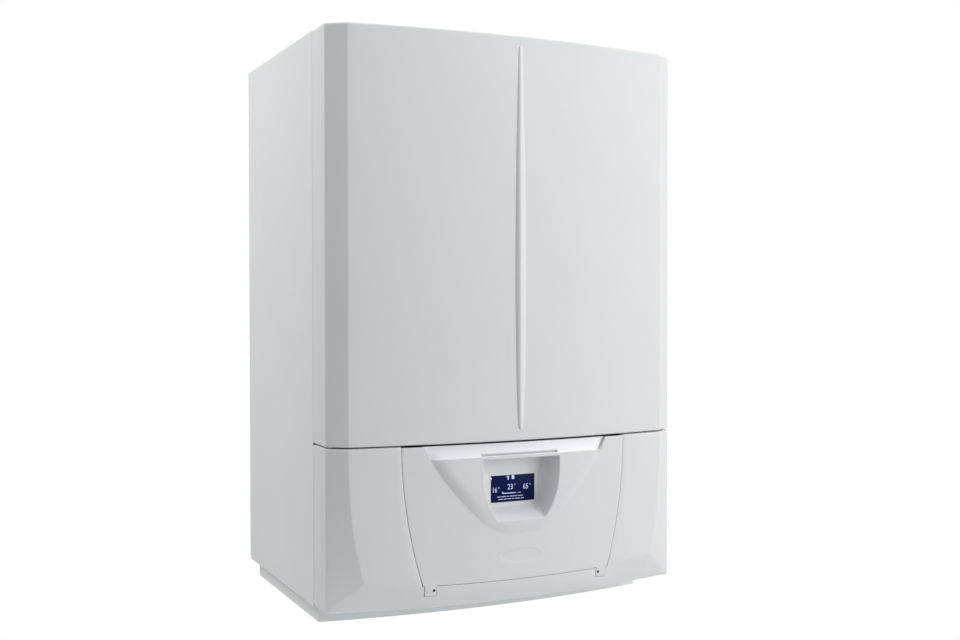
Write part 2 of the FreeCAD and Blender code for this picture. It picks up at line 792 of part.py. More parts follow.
def wall_bracket():
    """Hooked rail that is bolted to the wall first, with two slots for its bolts."""
    gap = "back_setback - sheet_wall"
    rail = padded("YZ_Plane", [
        (f"{gap} - bracket_wall", "0"), (gap, "0"), (gap, "bracket_height"),
        ("bracket_wall", "bracket_height"), ("bracket_wall", "bracket_height + bracket_hook_height"),
        ("0", "bracket_height + bracket_hook_height"), ("0", "bracket_height - bracket_wall"),
        (f"{gap} - bracket_wall", "bracket_height - bracket_wall")],
        "bracket_width", ("-bracket_width / 2", f"-({gap})", "bracket_level"))
    slots = []
    level = "bracket_level + (bracket_height - bracket_wall) / 2"
    half = "(bracket_slot_length / 2 - bracket_slot_radius)"
    for sign in (-1, 1):
        middle = f"{sign} * bracket_slot_spacing / 2"
        slots.append(box((f"2 * {half}", f"{gap}", "2 * bracket_slot_radius"),
                         (f"{middle} - {half}", f"-({gap})", f"{level} - bracket_slot_radius")))
        slots += [rod("bracket_slot_radius", gap, (f"{middle} + {end} * {half}", "0", level), "forward")
                  for end in (-1, 1)]
    return node("wall_bracket", cut(rail, *slots))


def sheet_plate(level):
    """Plain level sheet between the two side panels."""
    depth = "side_split_depth - seam_gap / 2 - back_setback"
    return box(("casing_width - 2 * sheet_wall", depth, "sheet_wall"),
               ("-casing_width / 2 + sheet_wall", f"-({depth}) - back_setback", level))


def pipe_hole(radius, across, setback, level):
    """Clearance hole for a pipe through a level sheet."""
    return rod(f"{radius} + hole_clearance", "sheet_wall + 2 * cut_overrun",
               (across, f"-({setback})", f"{level} - cut_overrun"))


def level_sheets():
    """Top panel with its flue hole, bottom panel with its pipe opening, and the shelf between."""
    top = sheet_plate("casing_height - sheet_wall")
    rear = box(("casing_width - 2 * sheet_wall", "back_setback", "sheet_wall"),
               ("-casing_width / 2 + sheet_wall", "-back_setback", "casing_height - sheet_wall"))
    flue = pipe_hole("collar_radius - collar_wall", "exchanger_across", "flue_setback", "casing_height")
    node("top_panel", cut(join(top, rear), flue))
    opening = box(("bottom_opening_width", "bottom_opening_depth", "2 * cut_overrun"),
                  ("-bottom_opening_width / 2", "-bottom_opening_setback - bottom_opening_depth",
                   "-cut_overrun"))
    floor = cut(sheet_plate("0"), opening)
    holes = [pipe_hole(radius, across, setback, "shelf_level") for radius, across, setback in (
        ("riser_radius", "-tank_across", "tank_setback"),
        ("riser_radius", "flow_riser_across", "riser_setback"),
        ("riser_radius", "return_riser_across", "riser_setback"),
        ("riser_radius", "trap_across", "trap_setback"),
        ("water_pipe_radius", "hot_drop_across", "hot_drop_setback"),
        ("gas_pipe_radius", "gas_valve_across", "connection_setback"))]
    node("inner_shelves", group(floor, cut(sheet_plate("shelf_level"), *holes)))


# Kind of pipe and place in the row, in pitches from the centre line.
CONNECTIONS = (("heating", -2), ("water", -1), ("gas", 0), ("water", 1), ("heating", 2))


def bottom_tray():
    """Shallow tray under the casing, inset from its sides, with a bowed front and pipe holes."""
    def plan(inset, level):
        half = s.tray_width / 2 - inset
        rear, corner = -s.tray_setback - inset, inset - s.tray_depth
        points = [Vector(-half, rear, level), Vector(-half, corner, level), Vector(half, corner, level),
                  Vector(half, rear, level)]
        apex = Vector(0, corner - s.tray_bow, level)
        edges = [Part.LineSegment(points[0], points[1]).toShape(),
                 Part.Arc(points[1], apex, points[2]).toShape(),
                 Part.LineSegment(points[2], points[3]).toShape(),
                 Part.LineSegment(points[3], points[0]).toShape()]
        return Part.Face(Part.Wire(edges))

    solid = plan(0, -s.tray_height).extrude(Vector(0, 0, s.tray_height))
    inside = plan(s.tray_wall, s.tray_wall - s.tray_height).extrude(Vector(0, 0, s.tray_height))
    places = [(step * s.connection_pitch, s.connection_setback, getattr(s, f"{kind}_pipe_radius"))
              for kind, step in CONNECTIONS]
    places.append((s.trap_across, s.trap_setback, s.riser_radius))
    holes = [Part.makeCylinder(radius + s.hole_clearance, s.tray_height,
                               Vector(across, -setback, -s.tray_height - s.cut_overrun))
             for across, setback, radius in places]
    return node("bottom_tray", formed(solid.cut([inside] + holes)))


def shell_of_revolution(radius, height, dome, wall, port, at, turn="up"):
    """Thin domed vessel with a port in the middle of each end."""
    # Shares of the radius and of the dome at the knee of each end.
    knee_radius_share, knee_dome_share = 0.72, 0.3
    knee = f"({radius}) * {knee_radius_share}"
    inner = f"({radius} - {wall})"
    rise = f"({dome}) * {knee_dome_share}"
    outer_points = [(f"{port} + {wall}", "0"), (knee, rise), (radius, dome),
                    (radius, f"{height} - {dome}"), (knee, f"{height} - {rise}"),
                    (f"{port} + {wall}", height)]
    inner_points = [(port, height), (f"{knee} - {wall}", f"{height} - {rise} - {wall}"),
                    (inner, f"{height} - {dome}"), (inner, dome),
                    (f"{knee} - {wall}", f"{rise} + {wall}"), (port, "0")]
    return turned(outer_points + inner_points, at, turn)


def hot_water_store():
    """Stainless tank in a foam jacket with a lid, standing on the shelf."""
    base = "shelf_level + sheet_wall"
    spot = ("-tank_across", "-tank_setback")
    port = "riser_radius + running_clearance"
    node("storage_tank", shell_of_revolution("tank_radius", "tank_height", "tank_dome", "vessel_wall", port,
                                             (*spot, f"{base} + jacket_floor")))
    bore = "tank_radius + jacket_gap"
    full = "jacket_floor + tank_height"
    jacket = turned([(port, "0"), (f"{bore} + jacket_wall", "0"), (f"{bore} + jacket_wall", full),
                     (bore, full), (bore, "jacket_floor"), (port, "jacket_floor")], (*spot, base))
    lid = turned([(port, "0"), (f"{bore} + jacket_wall", "0"),
                  (f"{bore} + jacket_wall", "jacket_lid_height"), (port, "jacket_lid_height")],
                 (*spot, f"{base} + {full}"))
    node("tank_jacket", group(jacket, lid))


def expansion_vessel():
    """Flat expansion vessel on the back panel, behind the heat exchanger."""
    node("expansion_vessel", shell_of_revolution(
        "expansion_vessel_radius", "expansion_vessel_height", "expansion_vessel_dome", "vessel_wall",
        "vessel_port", ("exchanger_across", "-back_setback", "expansion_vessel_level"), "forward"))


back_panel()
wall_bracket()
level_sheets()
bottom_tray()
hot_water_store()
expansion_vessel()


def pipe_up(radius, across, setback, low, high):
    """Straight upright tube between two levels."""
    at = (across, f"-({setback})", low)
    length = f"({high}) - ({low})"
    return cut(rod(radius, length, at), rod(f"{radius} - pipe_wall", length, at))


def tube(points, radius):
    """Bent tube along straight runs joined by tangent arcs."""
    edges, start = [], points[0]
    for corner, end in zip(points[1:-1], points[2:]):
        into, out = (corner - start).normalize(), (end - corner).normalize()
        half_turn = math.acos(into.dot(out)) / 2
        leg = s.pipe_bend * math.tan(half_turn)
        first, last = corner - into * leg, corner + out * leg
        inward = (out - into).normalize()
        middle = corner + inward * (s.pipe_bend / math.cos(half_turn) - s.pipe_bend)
        edges += [Part.LineSegment(start, first).toShape(), Part.Arc(first, middle, last).toShape()]
        start = last
    edges.append(Part.LineSegment(start, points[-1]).toShape())
    path = Part.Wire(edges)

    def sweep(reach):
        ring = Part.Wire(Part.makeCircle(reach, points[0], points[1] - points[0]))
        return path.makePipeShell([ring], True, False)

    return formed(sweep(radius).cut(sweep(radius - s.pipe_wall)))


def heat_exchanger():
    """Cast aluminium exchanger: open front, flue stub on top and three bosses underneath."""
    centre = ("exchanger_across", "-exchanger_setback", "exchanger_level")
    stub_at = ("exchanger_across", "-flue_setback", "exchanger_level")
    bosses = [rod("boss_radius", "exchanger_level - boss_level", (across, f"-({setback})", "boss_level"))
              for across, setback in (("flow_riser_across", "riser_setback"),
                                      ("return_riser_across", "riser_setback"),
                                      ("trap_across", "trap_setback"))]
    outside = join(rod("exchanger_radius", "exchanger_length", centre, "forward"),
                   rod("flue_radius", "flue_stub_top - exchanger_level", stub_at), *bosses)
    chamber = rod("exchanger_radius - exchanger_wall", "exchanger_length",
                  ("exchanger_across", "-exchanger_setback - exchanger_wall", "exchanger_level"), "forward")
    throat = rod("flue_radius - flue_wall", "flue_stub_top - exchanger_level + cut_overrun", stub_at)
    return node("heat_exchanger", cut(outside, chamber, throat))


def module_bracket():
    """Steel plate above the exchanger that hangs it from the back panel."""
    level = "exchanger_level + exchanger_radius + hook_clearance"
    corner = "exchanger_across - module_bracket_width / 2"
    depth = "exchanger_setback + exchanger_length - back_setback"
    plate = box(("module_bracket_width", depth, "bracket_wall"),
                (corner, f"-back_setback - ({depth})", level))
    flange = box(("module_bracket_width", "bracket_wall", "module_bracket_drop"),
                 (corner, "-back_setback - bracket_wall", f"{level} + bracket_wall - module_bracket_drop"))
    hole = rod("flue_radius + hole_clearance", "2 * module_bracket_drop",
               ("exchanger_across", "-flue_setback", f"{level} - module_bracket_drop"))
    return cut(join(plate, flange), hole)


DOOR_FACE = "exchanger_setback + exchanger_length"
DUCT_FACE = f"{DOOR_FACE} + door_wall"
DUCT_BASE = "fan_level + fan_radius + hole_clearance"


def burner_and_door():
    """Burner door with its electrodes, the burner tube that hangs from it, and its loose bolts."""
    centre = ("exchanger_across", f"-({DOOR_FACE})", "exchanger_level")
    mouth = "burner_radius - burner_wall"
    rim = "exchanger_radius + door_lap"
    node("burner_door", turned([(mouth, "0"), (rim, "0"), (rim, "door_wall"), (mouth, "door_wall")],
                               centre, "forward"))
    start = ("exchanger_across", f"-({DOOR_FACE}) + burner_length", "exchanger_level")
    node("burner", cut(rod("burner_radius", "burner_length", start, "forward"),
                       rod(mouth, "burner_length", start, "forward")))
    bolts = []
    bolt_count = 6
    for index in range(bolt_count):
        angle = 2 * math.pi * index / bolt_count
        bolts.append(rod("door_bolt_radius", "door_bolt_height", (
            f"exchanger_across + door_bolt_circle * {math.cos(angle):.6f}", f"-({DUCT_FACE})",
            f"exchanger_level + door_bolt_circle * {math.sin(angle):.6f}"), "forward"))
    electrodes = []
    level = "exchanger_level + electrode_rise"
    for sign in (-1, 1):
        across = f"exchanger_across + {sign} * electrode_spread"
        foot = box(("electrode_foot_width", "electrode_foot_wall", "electrode_foot_height"),
                   (f"{across} - electrode_foot_width / 2", f"-({DUCT_FACE}) - electrode_foot_wall",
                    f"{level} - electrode_foot_height / 2"))
        stem = rod("electrode_radius", "electrode_length", (across, f"-({DUCT_FACE})", level), "forward")
        electrodes.append(join(foot, stem))
    node("electrodes", group(*electrodes))
    return bolts


def mixture_duct():
    """Plastic elbow that carries the gas and air mixture from the fan up to the burner door."""
    def shape(wall):
        upper = box((f"duct_width - 2 * {wall}", f"duct_depth - {wall}", f"duct_height - 2 * {wall}"),
                    (f"exchanger_across - duct_width / 2 + {wall}", f"-({DUCT_FACE}) - duct_depth + {wall}",
                     f"{DUCT_BASE} + {wall}"))
        neck = box((f"fan_outlet_width - 2 * {wall}", f"({DUCT_FACE}) - fan_setback - {wall}",
                    f"duct_neck_height - {wall}"),
                   (f"fan_across - fan_outlet_width / 2 + {wall}", f"-({DUCT_FACE})", DUCT_BASE))
        return upper, neck

    return node("mixture_duct", cut(join(*shape("0")), *shape("duct_wall")))


def bladed_wheel(label, radius, height, blade_count, at):
    """Wheel with a shaft that points forwards and straight blades standing on its disc."""
    disc_share, blade_start_share, blade_wall_share = 0.1, 0.55, 0.05
    disc = f"({height}) * {disc_share}"
    body = turned([("0", "0"), (radius, "0"), (radius, disc), ("shaft_radius * 2", disc),
                   ("shaft_radius * 2", height), ("shaft_radius", height),
                   ("shaft_radius", f"{height} + shaft_length"), ("0", f"{height} + shaft_length")],
                  at, "forward")
    doc.recompute()
    half = f"({radius}) * {blade_wall_share} / 2"
    inner, outer = f"({radius}) * {blade_start_share}", f"({radius}) * (1 - {blade_wall_share})"
    blade = body.newObject("PartDesign::Pad", "blade")
    blade.Profile = outline(body, "XY_Plane", [(inner, f"-{half}"), (outer, f"-{half}"), (outer, half),
                                               (inner, half)])
    blade.setExpression("Length", formula(height))
    doc.recompute()
    ring = body.newObject("PartDesign::PolarPattern", "ring_of_blades")
    ring.Originals = [blade]
    ring.Axis = (next(f for f in body.Origin.OriginFeatures if f.Role == "Z_Axis"), [""])
    ring.Angle = 360.0
    ring.Occurrences = blade_count
    body.Tip = ring
    return node(label, body)


def fan():
    """Mixture fan: scroll housing with an outlet on top, bladed wheel, motor, venturi and silencer."""
    back = ("fan_across", "-fan_setback", "fan_level")
    outlet_corner = "fan_across - fan_outlet_width / 2"
    outlet = box(("fan_outlet_width", "fan_width", "fan_radius"),
                 (outlet_corner, "-fan_setback - fan_width", "fan_level"))
    outside = join(rod("fan_radius", "fan_width", back, "forward"), outlet)
    chamber = rod("fan_radius - fan_wall", "fan_width - 2 * fan_wall",
                  ("fan_across", "-fan_setback - fan_wall", "fan_level"), "forward")
    throat = box(("fan_outlet_width - 2 * fan_wall", "fan_width - 2 * fan_wall", "fan_radius + cut_overrun"),
                 (f"{outlet_corner} + fan_wall", "-fan_setback - fan_width + fan_wall", "fan_level"))
    inlet = rod("venturi_bore", "fan_width / 2", back, "forward")
    shaft = rod("shaft_radius + running_clearance", "fan_width + cut_overrun", back, "forward")
    node("fan_housing", cut(outside, chamber, throat, inlet, shaft))
    wheel_back = "fan_setback + fan_wall + (fan_width - 2 * fan_wall - fan_wheel_height) / 2"
    bladed_wheel("fan_wheel", "fan_wheel_radius", "fan_wheel_height", 14,
                 ("fan_across", f"-({wheel_back})", "fan_level"))
    motor_at = ("fan_across", "-fan_setback - fan_width", "fan_level")
    node("fan_motor", cut(rod("fan_motor_radius", "fan_motor_length", motor_at, "forward"),
                          rod("shaft_radius + running_clearance", "shaft_length", motor_at, "forward")))
    venturi_at = ("fan_across", "-fan_setback + venturi_length", "fan_level")
    venturi = cut(rod("venturi_radius", "venturi_length", venturi_at, "forward"),
                  rod("venturi_bore", "venturi_length", venturi_at, "forward"))
    base = "shelf_level + sheet_wall"
    middle = "fan_setback - venturi_length / 2"
    case = box(("silencer_width", "silencer_depth", "silencer_height"),
               ("fan_across - silencer_width / 2", f"-({middle}) - silencer_depth / 2", base))
    neck = rod("silencer_neck_radius", f"fan_level - ({base})", ("fan_across", f"-({middle})", base))
    room = rod("venturi_radius + seal_clearance", "venturi_length + 2 * cut_overrun",
               ("fan_across", "-fan_setback + venturi_length + cut_overrun", "fan_level"), "forward")
    node("air_intake", group(venturi, cut(join(case, neck), room)))


def gas_train():
    """Gas valve with its two coils, the pipe up to it, and the link to the venturi."""
    middle = "gas_valve_across"
    corner = (f"{middle} - gas_valve_width / 2", "-connection_setback - gas_valve_depth / 2",
              "gas_valve_level")
    block = box(("gas_valve_width", "gas_valve_depth", "gas_valve_height"), corner)
    coils = [rod("gas_coil_radius", "gas_coil_height", (
        middle, f"-connection_setback + {sign} * gas_coil_pitch / 2", "gas_valve_level + gas_valve_height"))
        for sign in (-1, 1)]
    node("gas_valve", join(block, *coils))
    wall_line = -s.connection_setback
    supply = tube([Vector(0, wall_line, -s.connection_drop), Vector(0, wall_line, s.gas_run_level),
                   Vector(s.gas_valve_across, wall_line, s.gas_run_level),
                   Vector(s.gas_valve_across, wall_line, s.gas_valve_level)], s.gas_pipe_radius)
    link = tube([Vector(s.gas_valve_across - s.gas_valve_width / 2, wall_line, s.fan_level),
                 Vector(s.fan_across, wall_line, s.fan_level),
                 Vector(s.fan_across, s.venturi_length - s.fan_setback, s.fan_level)], s.gas_link_radius)
    node("gas_pipes", group(supply, link))


def flue():
    """Flue pipe, the round collar on the top panel, and the seal between them."""
    spot = ("exchanger_across", "-flue_setback")
    node("flue_pipe", cut(rod("flue_radius", "casing_height + collar_height - flue_stub_top",
                              (*spot, "flue_stub_top")),
                          rod("flue_radius - flue_wall", "casing_height + collar_height - flue_stub_top",
                              (*spot, "flue_stub_top"))))
    bore = "collar_radius - collar_wall"
    rim = "collar_radius + collar_flange"
    node("flue_collar", turned([(bore, "0"), (rim, "0"), (rim, "collar_flange_wall"),
                                ("collar_radius", "collar_flange_wall"), ("collar_radius", "collar_height"),
                                (bore, "collar_height")], (*spot, "casing_height")))
    node("flue_seal", turned([("flue_radius + seal_clearance", "0"), (f"{bore} - seal_clearance", "0"),
                              (f"{bore} - seal_clearance", "flue_seal_height"),
                              ("flue_radius + seal_clearance", "flue_seal_height")],
                             (*spot, "casing_height + collar_flange_wall")))


MANIFOLD_FACE = "manifold_setback + manifold_depth"
MANIFOLD_TOP = "manifold_level + manifold_height"
MANIFOLD_MIDDLE = "manifold_level + manifold_height / 2"
BAR_MIDDLE = "manifold_setback + manifold_depth / 2"


def hydraulic_block():
    """Plate exchanger between two brass manifolds, and the circulation pump."""
    corner = ("-plate_exchanger_width / 2", "-manifold_setback - manifold_depth / 2 - plate_exchanger_depth",
              "plate_exchanger_level")
    stack = box(("plate_exchanger_width", "plate_exchanger_depth", "plate_exchanger_height"), corner)
    ends = [box(("plate_exchanger_width", "plate_wall", "plate_exchanger_height + 2 * plate_lap"),
                (corner[0], f"{corner[1]} + {share} * (plate_exchanger_depth - plate_wall)",
                 "plate_exchanger_level - plate_lap")) for share in (0, 1)]
    node("plate_exchanger", join(stack, *ends))
    bars = [box(("manifold_length", "manifold_depth", "manifold_height"),
                (start, f"-({MANIFOLD_FACE})", "manifold_level"))
            for start in ("-plate_exchanger_width / 2 - manifold_length", "plate_exchanger_width / 2")]
    node("manifolds", group(*bars))
    pump_at = ("pump_across", f"-({MANIFOLD_FACE})", MANIFOLD_MIDDLE)
    chamber = rod("pump_radius - pump_wall", "pump_depth",
                  ("pump_across", f"-({MANIFOLD_FACE}) - pump_wall", MANIFOLD_MIDDLE), "forward")
    node("pump_housing", cut(rod("pump_radius", "pump_depth", pump_at, "forward"), chamber))
    motor_at = ("pump_across", f"-({MANIFOLD_FACE}) - pump_depth", MANIFOLD_MIDDLE)
    bore = rod("shaft_radius + running_clearance", "2 * shaft_length", motor_at, "forward")
    flange = rod("pump_radius", "pump_wall", motor_at, "forward")
    barrel = rod("pump_motor_radius", "pump_motor_length", motor_at, "forward")
    node("pump_motor", cut(join(barrel, flange), bore))
    bladed_wheel("pump_wheel", "pump_wheel_radius", "pump_wheel_height", 8, (
        "pump_across", f"-({MANIFOLD_FACE}) - pump_wall - (pump_depth - pump_wall - pump_wheel_height) / 2",
        MANIFOLD_MIDDLE))


def diverter_valve():
    """Three-way valve on the flow manifold: body, sliding spindle and electric actuator."""
    spot = ("-valve_across", f"-({BAR_MIDDLE})")
    top = f"{MANIFOLD_TOP} + valve_height"
    foot = "valve_height - valve_bore - spindle_stroke"
    bore = "spindle_radius + running_clearance"
    node("diverter_valve", cut(rod("valve_radius", "valve_height", (*spot, MANIFOLD_TOP)),
                               rod(bore, "valve_height", (*spot, f"{MANIFOLD_TOP} + {foot}"))))
    node("diverter_spindle", rod("spindle_radius", "spindle_length",
                                 (*spot, f"{MANIFOLD_TOP} + {foot} + spindle_stroke")))
    case = box(("actuator_width", "actuator_depth", "actuator_height"),
               ("-valve_across - actuator_width / 2", f"-({BAR_MIDDLE}) - actuator_depth / 2", top))
    node("diverter_actuator", cut(case, rod(bore, "spindle_length", (*spot, top))))


def round_knob(label, radius, height, spindle, length, at, turn):
    """Fluted hand knob with a spindle behind it."""
    flute_count, flute_share = 8, 0.14
    head = cut(rod(radius, height, at, turn), *[
        rod(f"({radius}) * {flute_share}", height, (
            f"{at[0]} + ({radius}) * {math.cos(2 * math.pi * k / flute_count):.6f}",
            *((f"{at[1]}", f"{at[2]} + ({radius}) * {math.sin(2 * math.pi * k / flute_count):.6f}")
              if turn == "forward" else
              (f"{at[1]} + ({radius}) * {math.sin(2 * math.pi * k / flute_count):.6f}", f"{at[2]}"))), turn)
        for k in range(flute_count)])
    behind = (at[0], f"{at[1]} + {length}", at[2]) if turn == "forward" else at
    reach = length if turn == "forward" else f"{height} + {length}"
    return node(label, join(head, rod(spindle, reach, behind, turn)))


def safety_valve():
    """Spring safety valve on the flow manifold with its quarter-turn test knob."""
    at = ("-safety_across", f"-({MANIFOLD_FACE})", MANIFOLD_MIDDLE)
    face = f"-({MANIFOLD_FACE}) - safety_length"
    bore = rod("spindle_radius + running_clearance", "safety_length",
               (at[0], f"{face} + tap_spindle_length", at[2]), "forward")
    node("safety_valve", cut(rod("safety_radius", "safety_length", at, "forward"), bore))
    round_knob("safety_valve_knob", "safety_knob_radius", "safety_knob_height", "spindle_radius",
               "tap_spindle_length - knob_gap", (at[0], f"{face} - knob_gap", at[2]), "forward")


def filling_tap():
    """Filling tap under the return manifold, with its knob below it."""
    low = "manifold_level - tap_height"
    block = box(("tap_width", "tap_width", "tap_height"),
                ("tap_across - tap_width / 2", f"-({BAR_MIDDLE}) - tap_width / 2", low))
    bore = rod("spindle_radius + running_clearance", "tap_spindle_length",
               ("tap_across", f"-({BAR_MIDDLE})", low))
    node("filling_tap", cut(block, bore))
    round_knob("filling_tap_knob", "tap_knob_radius", "tap_knob_height", "spindle_radius",
               "tap_spindle_length - knob_gap",
               ("tap_across", f"-({BAR_MIDDLE})", f"{low} - knob_gap - tap_knob_height"), "up")


def condensate_trap():
    """Condensate trap beside the manifold, with its neck and its outlet through the tray."""
    spot = ("trap_across", "-trap_setback")
    cup = rod("trap_radius", "trap_height - trap_neck_height", (*spot, "trap_level"))
    neck = rod("trap_neck_radius", "trap_neck_height", (*spot, "trap_level + trap_height - trap_neck_height"))
    outlet = rod("riser_radius", "connection_drop + trap_level", (*spot, "-connection_drop"))
    bore = rod("riser_radius - pipe_wall", "connection_drop + trap_level", (*spot, "-connection_drop"))
    node("condensate_trap", cut(join(cup, neck, outlet), bore))


def pipes():
    """Risers through the shelf, pipes that leave through the tray, their fittings and the cable glands."""
    risers = [pipe_up("riser_radius", across, setback, low, high) for across, setback, low, high in (
        ("flow_riser_across", "riser_setback", "plate_exchanger_level + plate_exchanger_height",
         "boss_level"),
        ("return_riser_across", "riser_setback", MANIFOLD_TOP, "boss_level"),
        ("trap_across", "trap_setback", "trap_level + trap_height", "boss_level"),
        ("-tank_across", "tank_setback", MANIFOLD_TOP,
         "shelf_level + sheet_wall + jacket_floor + tank_dome / 2"))]
    node("riser_pipes", group(*risers))
    wall_line, middle = -s.connection_setback, s.manifold_level + s.manifold_height / 2
    bar_rear = -s.manifold_setback
    elbows = []
    for step, radius, rear in ((-2, s.heating_pipe_radius, bar_rear), (2, s.heating_pipe_radius, bar_rear),
                               (1, s.water_pipe_radius, bar_rear - s.manifold_depth / 2)):
        across = step * s.connection_pitch
        elbows.append(tube([Vector(across, wall_line, -s.connection_drop), Vector(across, wall_line, middle),
                            Vector(across, rear, middle)], radius))
    node("heating_pipes", group(*elbows[:2]))
    tank_top = s.shelf_level + s.sheet_wall + s.jacket_floor + s.tank_height
    crown = tank_top + s.jacket_lid_height + s.hot_top_rise
    drop = Vector(s.hot_drop_across, -s.hot_drop_setback, 0)
    outlet = Vector(-s.connection_pitch, wall_line, 0)
    tank = Vector(-s.tank_across, -s.tank_setback, 0)
    up = Vector(0, 0, 1)
    hot = tube([tank + up * (tank_top - s.tank_dome / 2), tank + up * crown, drop + up * crown,
                drop + up * s.hot_foot_level, outlet + up * s.hot_foot_level,
                outlet - up * s.connection_drop], s.water_pipe_radius)
    node("water_pipes", group(elbows[2], hot))
    nuts = []
    for kind, step in CONNECTIONS:
        nut = doc.addObject("Part::Prism", "nut")
        nut.Polygon = 6
        nut.setExpression("Circumradius", formula("nut_across"))
        nut.setExpression("Height", formula("nut_height"))
        spot = (f"{step} * connection_pitch", "-connection_setback")
        place(nut, (*spot, "-tray_height - nut_height"))
        end = (*spot, "-connection_drop")
        spigot = rod(f"{kind}_spigot_radius", "connection_drop - tray_height", end)
        bore = rod(f"{kind}_pipe_radius + running_clearance", "connection_drop - tray_height", end)
        nuts.append(cut(join(nut, spigot), bore))
    node("connection_fittings", group(*nuts))
    glands = []
    for step in (0, 1):
        at = (f"-gland_across + {step} * gland_pitch", "-connection_setback", "-tray_height - gland_height")
        glands.append(cut(rod("gland_radius", "gland_height", at), rod("gland_bore", "gland_height", at)))
    node("cable_glands", group(*glands))


PANEL_FACE = "-panel_depth"
BOX_REAR = "panel_depth - panel_wall - control_box_depth"
PANEL_MIDDLE = "panel_base + panel_height / 2"
BUTTONS = ("mode_button", "info_button", "reset_button")


def button_across(index):
    """Formula of a button's distance from the centre line."""
    return f"{index - (len(BUTTONS) - 1) / 2} * button_pitch"


def panel_corners():
    """Formulas of the four screw places of the control panel."""
    return [(f"{side} * (panel_width / 2 - panel_screw_margin)",
             f"{PANEL_MIDDLE} + {rise} * (panel_height / 2 - panel_screw_margin)")
            for side in (-1, 1) for rise in (-1, 1)]


def panel_hole(radius, across, level):
    """Hole through the control panel."""
    return rod(radius, "panel_wall + 2 * cut_overrun",
               (across, f"{PANEL_FACE} + panel_wall + cut_overrun", level), "forward")


def display_box(grow, front):
    """Block of the display, grown all round by a clearance, from a given depth backwards."""
    width = f"display_width + 2 * display_lap + 2 * {grow}"
    height = f"display_height + 2 * display_lap + 2 * {grow}"
    return box((width, "display_thickness", height),
               (f"-({width}) / 2", f"-({front})", f"display_middle - ({height}) / 2"))


def flap_catch():
    """Catch block on the panel that holds the flap shut behind its ledge."""
    top = "panel_base + panel_height"
    slope = "ledge_depth / ledge_height"
    ledge_back = (f"side_depth + corner_depth + front_bow - ledge_step - ledge_wall"
                  f" - {slope} * ({top} - flap_top + ledge_height)")
    return box(("catch_width", f"{ledge_back} - hook_clearance - panel_depth", "catch_height"),
               ("-catch_width / 2", f"-({ledge_back}) + hook_clearance", f"{top} - catch_height"))


def control_panel():
    """Panel behind the flap with holes for all it carries, its flap catch, and its loose screws."""
    plate = box(("panel_width", "panel_wall", "panel_height"), ("-panel_width / 2", PANEL_FACE, "panel_base"))
    holes = [display_box("hole_clearance", "panel_depth + cut_overrun"),
             panel_hole("gauge_radius + hole_clearance", "-gauge_across", "gauge_level")]
    holes += [panel_hole("knob_spindle_radius + running_clearance", f"{sign} * knob_spread", "knob_level")
              for sign in (-1, 1)]
    holes += [panel_hole("button_stem_radius + running_clearance", button_across(index), "button_level")
              for index in range(len(BUTTONS))]
    holes += [panel_hole("screw_shank_radius + running_clearance", across, level)
              for across, level in panel_corners()]
    node("control_panel", join(cut(plate, *holes), flap_catch()))
    screws = []
    for across, level in panel_corners():
        head = rod("screw_head_radius", "screw_head_height", (across, PANEL_FACE, level), "forward")
        shank = rod("screw_shank_radius", "screw_shank_length + panel_wall",
                    (across, f"{PANEL_FACE} + panel_wall + screw_shank_length", level), "forward")
        screws.append(join(head, shank))
    return screws


def control_box():
    """Plastic electronics box behind the panel, its circuit board and its two brackets."""
    rear = f"-({BOX_REAR})"
    base = ("-panel_width / 2", f"{PANEL_FACE} + panel_wall", "panel_base")
    outside = box(("panel_width", "control_box_depth", "panel_height"), base)
    inside = box(("panel_width - 2 * control_box_wall", "control_box_depth - control_box_wall",
                  "panel_height - 2 * control_box_wall"),
                 ("-panel_width / 2 + control_box_wall", base[1], "panel_base + control_box_wall"))
    posts = [rod("circuit_post_radius", "control_box_depth", (across, rear, level), "forward")
             for across, level in panel_corners()]
    bores = [rod("screw_shank_radius + running_clearance", "2 * screw_shank_length",
                 (across, f"{base[1]} + 2 * screw_shank_length", level), "forward")
             for across, level in panel_corners()]
    board_posts = [rod("circuit_post_radius", "circuit_post_height", (
        f"{side} * (circuit_board_width / 2 - panel_screw_margin)", rear,
        f"{PANEL_MIDDLE} + {rise} * (circuit_board_height / 2 - panel_screw_margin)"), "forward")
        for side in (-1, 1) for rise in (-1, 1)]
    node("control_box", cut(join(cut(outside, inside), *posts, *board_posts), *bores))
    board_face = f"{rear} - circuit_post_height - circuit_board_wall"
    board = box(("circuit_board_width", "circuit_board_wall", "circuit_board_height"),
                ("-circuit_board_width / 2", board_face, f"{PANEL_MIDDLE} - circuit_board_height / 2"))
    strip = box(("terminal_width", "terminal_depth", "terminal_height"),
                ("-terminal_width / 2", f"{board_face} - terminal_depth",
                 f"{PANEL_MIDDLE} - circuit_board_height / 2 + terminal_margin"))
    node("main_circuit_board", join(board, strip))
    arms = []
    reach = "casing_width / 2 - sheet_wall - panel_width / 2 + box_bracket_lap"
    low = f"{PANEL_MIDDLE} - box_bracket_height / 2"
    for sign in (-1, 1):
        wall = f"{sign} * (casing_width / 2 - sheet_wall)"
        arm = box((reach, "sheet_wall", "box_bracket_height"),
                  (f"{wall} - (1 + {sign}) / 2 * ({reach})", rear, low))
        flange = box(("sheet_wall", "box_bracket_flange", "box_bracket_height"),
                     (f"{wall} - (1 + {sign}) / 2 * sheet_wall", rear, low))
        arms.append(join(arm, flange))
    return arms


def display_module():
    """Display behind the flap's window, seated in the panel."""
    window = "side_depth + corner_depth + front_bow - bowl_depth - flap_wall"
    node("display_module", display_box("0", f"{window} - display_clearance"))


